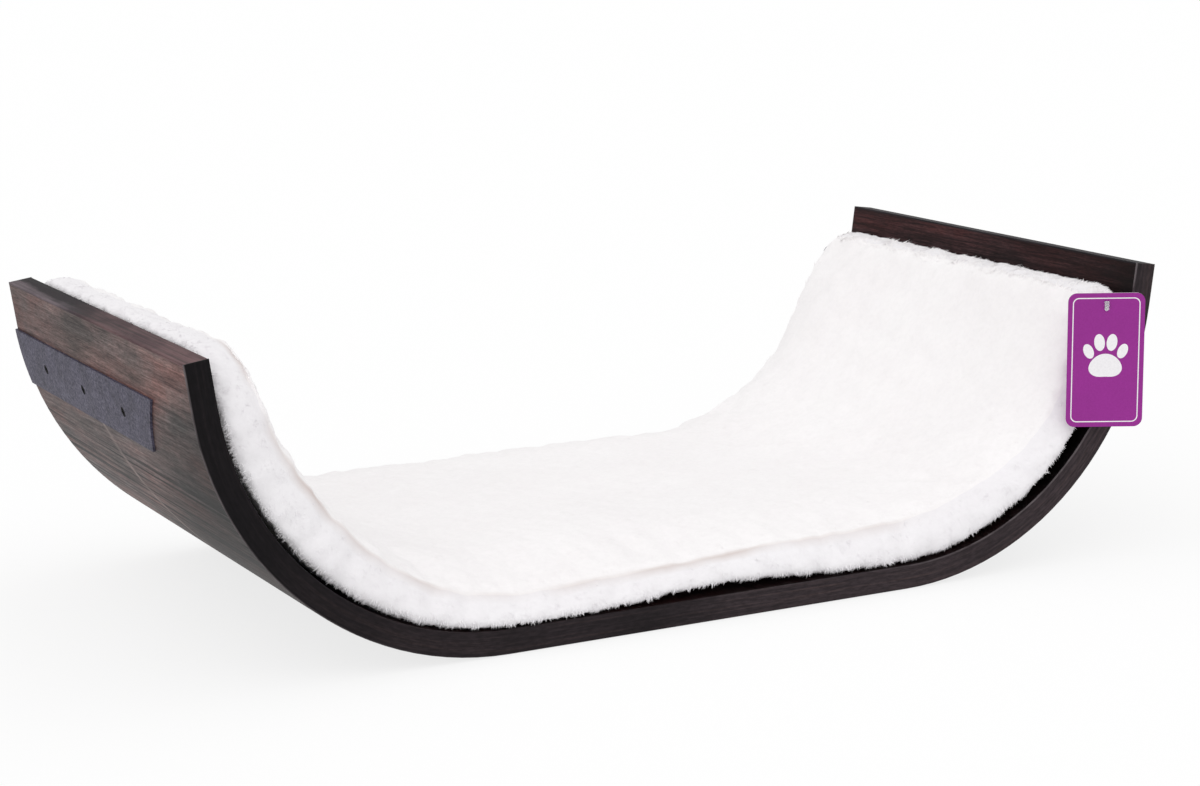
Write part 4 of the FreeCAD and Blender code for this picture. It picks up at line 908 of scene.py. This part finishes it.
def studs(middle_run, root, tip, pitch, first_index):
    """Rows of small bent hooks or loops between two heights over the board."""
    points = []
    faces = []
    runs = np.arange(-TAPE_WIDTH / 2 + 1.5 * MM, TAPE_WIDTH / 2 - MM, pitch)
    depths = np.arange(-TAPE_LENGTH / 2 + 1.5 * MM, TAPE_LENGTH / 2 - MM, pitch)
    thick = 0.22 * pitch
    for row, depth in enumerate(depths):
        bend = thick * (1.6 if row % 2 else -1.6)
        for run in runs:
            start = first_index + len(points)
            for level, shift, size in ((0.0, 0.0, 1.0), (0.6, 0.3, 0.75), (1.0, 1.0, 0.5)):
                height = root + (tip - root) * level
                for corner_run, corner_depth in ((-1, -1), (1, -1), (1, 1), (-1, 1)):
                    x, z = on_board(middle_run + run + corner_run * thick * size + bend * shift, height)
                    points.append((float(x), depth + corner_depth * thick * size, float(z)))
            upward = tip > root
            for ring in (0, 4):
                for k in range(4):
                    a = start + ring + k
                    b = start + ring + (k + 1) % 4
                    side = (a, b, b + 4, a + 4)
                    faces.append(side if upward else side[::-1])
            low_cap = (start + 3, start + 2, start + 1, start)
            high_cap = (start + 8, start + 9, start + 10, start + 11)
            faces.append(low_cap if upward else low_cap[::-1])
            faces.append(high_cap if upward else high_cap[::-1])
    return points, faces


def make_tape(name, runs, heights, stud_heights, pitch, material, body, node):
    points = []
    faces = []
    for run in runs:
        for maker, values in ((ribbon, heights), (studs, (*stud_heights, pitch))):
            more_points, more_faces = maker(run, *values, len(points))
            points.extend(more_points)
            faces.extend(more_faces)
    tape = new_mesh(name, points, faces, material, smooth=False)
    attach(tape, body)
    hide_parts(node)


def make_tapes(name, runs, hook_node, loop_node):
    """The two halves of a fastening: hooks on the board, loops under the cushion."""
    make_tape(name + "_hook_tape", runs, (0.0, HOOK_BASE_TOP), (HOOK_BASE_TOP - STUD_ROOT, HOOK_TIP),
              HOOK_PITCH, hook_tape, "cradle", hook_node)
    make_tape(name + "_loop_tape", runs, (LOOP_BASE_LOW, LOOP_BASE_HIGH), (LOOP_BASE_LOW + STUD_ROOT, LOOP_TIP),
              LOOP_PITCH, loop_tape, "cushion", loop_node)


# Hang tag

TAG_PIVOT = np.array((297.6385974, -188.839585, 178.1658795)) * MM
TAG_YAW = math.radians(28)
TAG_ACROSS = np.array((math.cos(TAG_YAW), -math.sin(TAG_YAW), 0))
TAG_NORMAL = np.array((-math.sin(TAG_YAW), -math.cos(TAG_YAW), 0))
TAG_THICKNESS = 0.8 * MM
TAG_WIDTH = 52 * MM
TAG_HEIGHT = 92 * MM
TAG_TOP = 10.35 * MM
PRINT_THICKNESS = 0.06 * MM
PRINT_ROOT = 0.02 * MM


def on_tag(across, up, out):
    """A point on the card: across its width, up from the pin, out of its front face."""
    return (TAG_PIVOT + across * TAG_ACROSS + np.array((0, 0, up))
            + (TAG_THICKNESS / 2 + out) * TAG_NORMAL)


def print_shapes(name, outlines, material):
    """Thin closed islands of print on the card's front face, each an outline, or a ring of two."""
    points = []
    faces = []
    for outline in outlines:
        loops = outline if isinstance(outline, tuple) else (outline,)
        count = len(loops[0])
        start = len(points)
        for loop in loops:
            for out in (-PRINT_ROOT, PRINT_THICKNESS):
                points.extend(on_tag(a, u, out) for a, u in loop)
        if len(loops) == 1:
            faces.append(tuple(start + count + k for k in range(count)))
            faces.append(tuple(start + k for k in reversed(range(count))))
        for k in range(count):
            a = start + k
            b = start + (k + 1) % count
            faces.append((a, b, b + count, a + count))
            if len(loops) == 2:
                c = 2 * count
                faces.append((b + c, a + c, a + c + count, b + c + count))
                faces.append((a + count, b + count, b + c + count, a + c + count))
                faces.append((b, a, a + c, b + c))
    made = new_mesh(name, points, faces, material, smooth=False)
    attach(made, "tag")


def ellipse(across, up, wide, tall, turn=0.0, count=40):
    angles = np.linspace(0, 2 * math.pi, count, endpoint=False)
    a = wide / 2 * np.cos(angles)
    u = tall / 2 * np.sin(angles)
    c, s = math.cos(turn), math.sin(turn)
    return [(across + c * p - s * q, up + s * p + c * q) for p, q in zip(a, u)]


def paw_pad(across, up, size, count=64):
    """The main pad: rounded above, three soft lobes below."""
    outline = []
    for angle in np.linspace(0, 2 * math.pi, count, endpoint=False):
        reach = 1 + 0.16 * math.sin(angle) + 0.07 * math.cos(2 * angle) - 0.06 * math.sin(3 * angle)
        outline.append((across + size * reach * math.cos(angle) * 0.62, up + size * reach * math.sin(angle) * 0.5))
    return outline


def rounded_frame(inset, corner, count=10):
    half = TAG_WIDTH / 2 - inset
    top = TAG_TOP - inset
    bottom = TAG_TOP - TAG_HEIGHT + inset
    outline = []
    for centre_a, centre_u, first in ((half - corner, top - corner, 0), (corner - half, top - corner, 90),
                                      (corner - half, bottom + corner, 180), (half - corner, bottom + corner, 270)):
        for step in range(count + 1):
            angle = math.radians(first + 90 * step / count)
            outline.append((centre_a + corner * math.cos(angle), centre_u + corner * math.sin(angle)))
    return outline


# Toes of the paw: across and up from its middle, width, height in mm, and lean in degrees.
TOES = [(-11.5, 9.5, 6.6, 10.5, 24), (-4.2, 15.5, 7.2, 11.6, 7),
        (4.2, 15.5, 7.2, 11.6, -7), (11.5, 9.5, 6.6, 10.5, -24)]
PAW_UP = -39 * MM


def make_tag_print():
    """A plain paw and a fine border line."""
    ink = ink_material()
    outlines = [paw_pad(0, PAW_UP - 2 * MM, 17 * MM)]
    for across, rise, wide, tall, turn in TOES:
        outlines.append(ellipse(across * MM, PAW_UP + rise * MM, wide * MM, tall * MM, math.radians(turn)))
    print_shapes("tag_paw_print", outlines, ink)
    print_shapes("tag_border", [(rounded_frame(3.2 * MM, 4.2 * MM), rounded_frame(3.9 * MM, 3.6 * MM))], ink)


# Stage: pale floor, soft light and the camera of the photograph

AMBIENT = 0.83
# Name, strength, azimuth of the lamp seen from above (0 is in front, negative to the left), elevation, spread.
LAMPS = [("key", 0.45, -50, 50, 60), ("front", 0.35, -15, 25, 80)]
FLOOR_GLOW = 0.78
FLOOR_SHADE = 0.22
FLOOR_HALF = 16.0
FLOOR_DROP = -0.5 * MM


def make_floor():
    material, tree, shader = new_material("pale_floor")
    tree.nodes.remove(shader)
    path = add(tree, "ShaderNodeLightPath")
    seen = math_node(tree, "MAXIMUM", path.outputs["Is Camera Ray"], path.outputs["Is Glossy Ray"])
    seen = math_node(tree, "MAXIMUM", seen, path.outputs["Is Transmission Ray"])
    plain = add(tree, "ShaderNodeBsdfDiffuse", {"Color": (0.80, 0.80, 0.80, 1)})
    shown = add(tree, "ShaderNodeBsdfDiffuse", {"Color": (FLOOR_SHADE, FLOOR_SHADE, FLOOR_SHADE, 1)})
    glow = add(tree, "ShaderNodeEmission", {"Color": (1, 1, 1, 1), "Strength": FLOOR_GLOW})
    both = add(tree, "ShaderNodeAddShader", {0: shown.outputs[0], 1: glow.outputs[0]})
    final = add(tree, "ShaderNodeMixShader", {0: seen, 1: plain.outputs[0], 2: both.outputs[0]})
    link(tree, final.outputs[0], tree.nodes["Material Output"].inputs["Surface"])
    half = FLOOR_HALF
    corners = [(-half, -half, FLOOR_DROP), (half, -half, FLOOR_DROP),
               (half, half, FLOOR_DROP), (-half, half, FLOOR_DROP)]
    new_mesh("floor", corners, [(0, 1, 2, 3)], material, smooth=False)


def make_light():
    world = bpy.data.worlds.new("studio")
    bpy.context.scene.world = world
    world.use_nodes = True
    tree = world.node_tree
    background = tree.nodes["Background"]
    path = add(tree, "ShaderNodeLightPath")
    seen = math_node(tree, "MAXIMUM", path.outputs["Is Camera Ray"], path.outputs["Is Transmission Ray"])
    link(tree, math_node(tree, "MULTIPLY_ADD", seen, 1.0 - AMBIENT, AMBIENT), background.inputs["Strength"])
    background.inputs["Color"].default_value = (1, 1, 1, 1)
    for name, strength, azimuth, elevation, spread in LAMPS:
        data = bpy.data.lights.new(name, "SUN")
        data.energy = strength
        data.angle = math.radians(spread)
        lamp = bpy.data.objects.new(name, data)
        bpy.context.scene.collection.objects.link(lamp)
        turn = math.radians(azimuth)
        rise = math.radians(elevation)
        towards = Vector((math.sin(turn) * math.cos(rise), -math.cos(turn) * math.cos(rise), math.sin(rise)))
        lamp.rotation_euler = towards.to_track_quat("Z", "Y").to_euler()


CAMERA_PLACE = (-0.85352, -1.62593, 0.49143)
CAMERA_RIGHT = (0.88189, -0.47132, -0.01138)
CAMERA_UP = (0.1037, 0.17037, 0.97991)
CAMERA_BACK = (-0.45991, -0.86535, 0.19912)


def make_camera():
    data = bpy.data.cameras.new("camera")
    data.lens = 81.69
    data.sensor_fit = "HORIZONTAL"
    data.sensor_width = 36
    camera = bpy.data.objects.new("camera", data)
    bpy.context.scene.collection.objects.link(camera)
    turn = Matrix((CAMERA_RIGHT, CAMERA_UP, CAMERA_BACK)).transposed()
    camera.matrix_world = Matrix.Translation(CAMERA_PLACE) @ turn.to_4x4()
    bpy.context.scene.camera = camera


# Put together

edge = edge_material()
steel = steel_material()
screw = screw_material()
plush = plush_material("white_plush", (0.955, 0.935, 0.938))
# The gusset's plush is a darker, bluer copy of the white plush: painted shade on the cushion's sides.
gusset_plush_painted_shade = plush_material("white_plush_side_painted_shade", (0.908, 0.890, 0.909))
cloth = woven_material("base_cloth", (0.62, 0.62, 0.61), (0.84, 0.84, 0.83), 5200)
hook_tape = tape_material("hook_tape", (0.012, 0.012, 0.013), (0.035, 0.035, 0.037))
loop_tape = tape_material("loop_tape", (0.70, 0.70, 0.69), (0.86, 0.86, 0.85))

dress("plywood_shell", veneer_material())
for band in ("front_edge_band", "rear_edge_band"):
    dress(band, edge)
# End bands: colours at the room, the middle and the wall, then the painted highlight of the outer arris.
dress("left_end_band", end_material("left_end_edge", (0.210, 0.122, 0.126), (0.138, 0.082, 0.086),
                                    (0.026, 0.018, 0.022), (0.20, 0.158, 0.175)))
dress("right_end_band", end_material("right_end_edge", (0.032, 0.026, 0.030), (0.030, 0.022, 0.026),
                                     (0.030, 0.022, 0.026), (0.080, 0.066, 0.070)))
for side in ("left", "right"):
    dress(side + "_wall_bracket", steel)
    dress(side + "_bracket_screws", screw)
dress("hang_tag", card_material())
dress("tag_pin", pin_material())
make_tag_print()

make_tapes("left", [-BEND_TAPE_RUN], "left_hook_strip", "left_loop_strip")
make_tapes("right", [BEND_TAPE_RUN], "right_hook_strip", "right_loop_strip")
make_tapes("floor", [-FLOOR_TAPE_RUN, FLOOR_TAPE_RUN], "floor_hook_strips", "floor_loop_strips")

cushion = make_cushion(plush, cloth, gusset_plush_painted_shade)
make_pile("gusset_pile", cushion.data, on_gusset, down_nap, 22000, 3.4 * MM, 0.5 * MM, (3, 13), 21, gusset_plush_painted_shade)
make_pile("top_pile", cushion.data, on_top, back_nap, 46000, 3.4 * MM, 0.5 * MM, (3, 10), 61, plush)
make_pile("right_end_fringe", cushion.data, on_right_end, end_nap, 2600, 4.6 * MM, 0.8 * MM, (2, 16), 81, plush)
make_pile("hem_fringe", cushion.data, on_front_hem, down_nap, 4200, 3.2 * MM, 0.5 * MM, (6, 26), 91, gusset_plush_painted_shade)

make_floor()
make_light()
make_camera()
bpy.context.scene.view_settings.view_transform = "Standard"
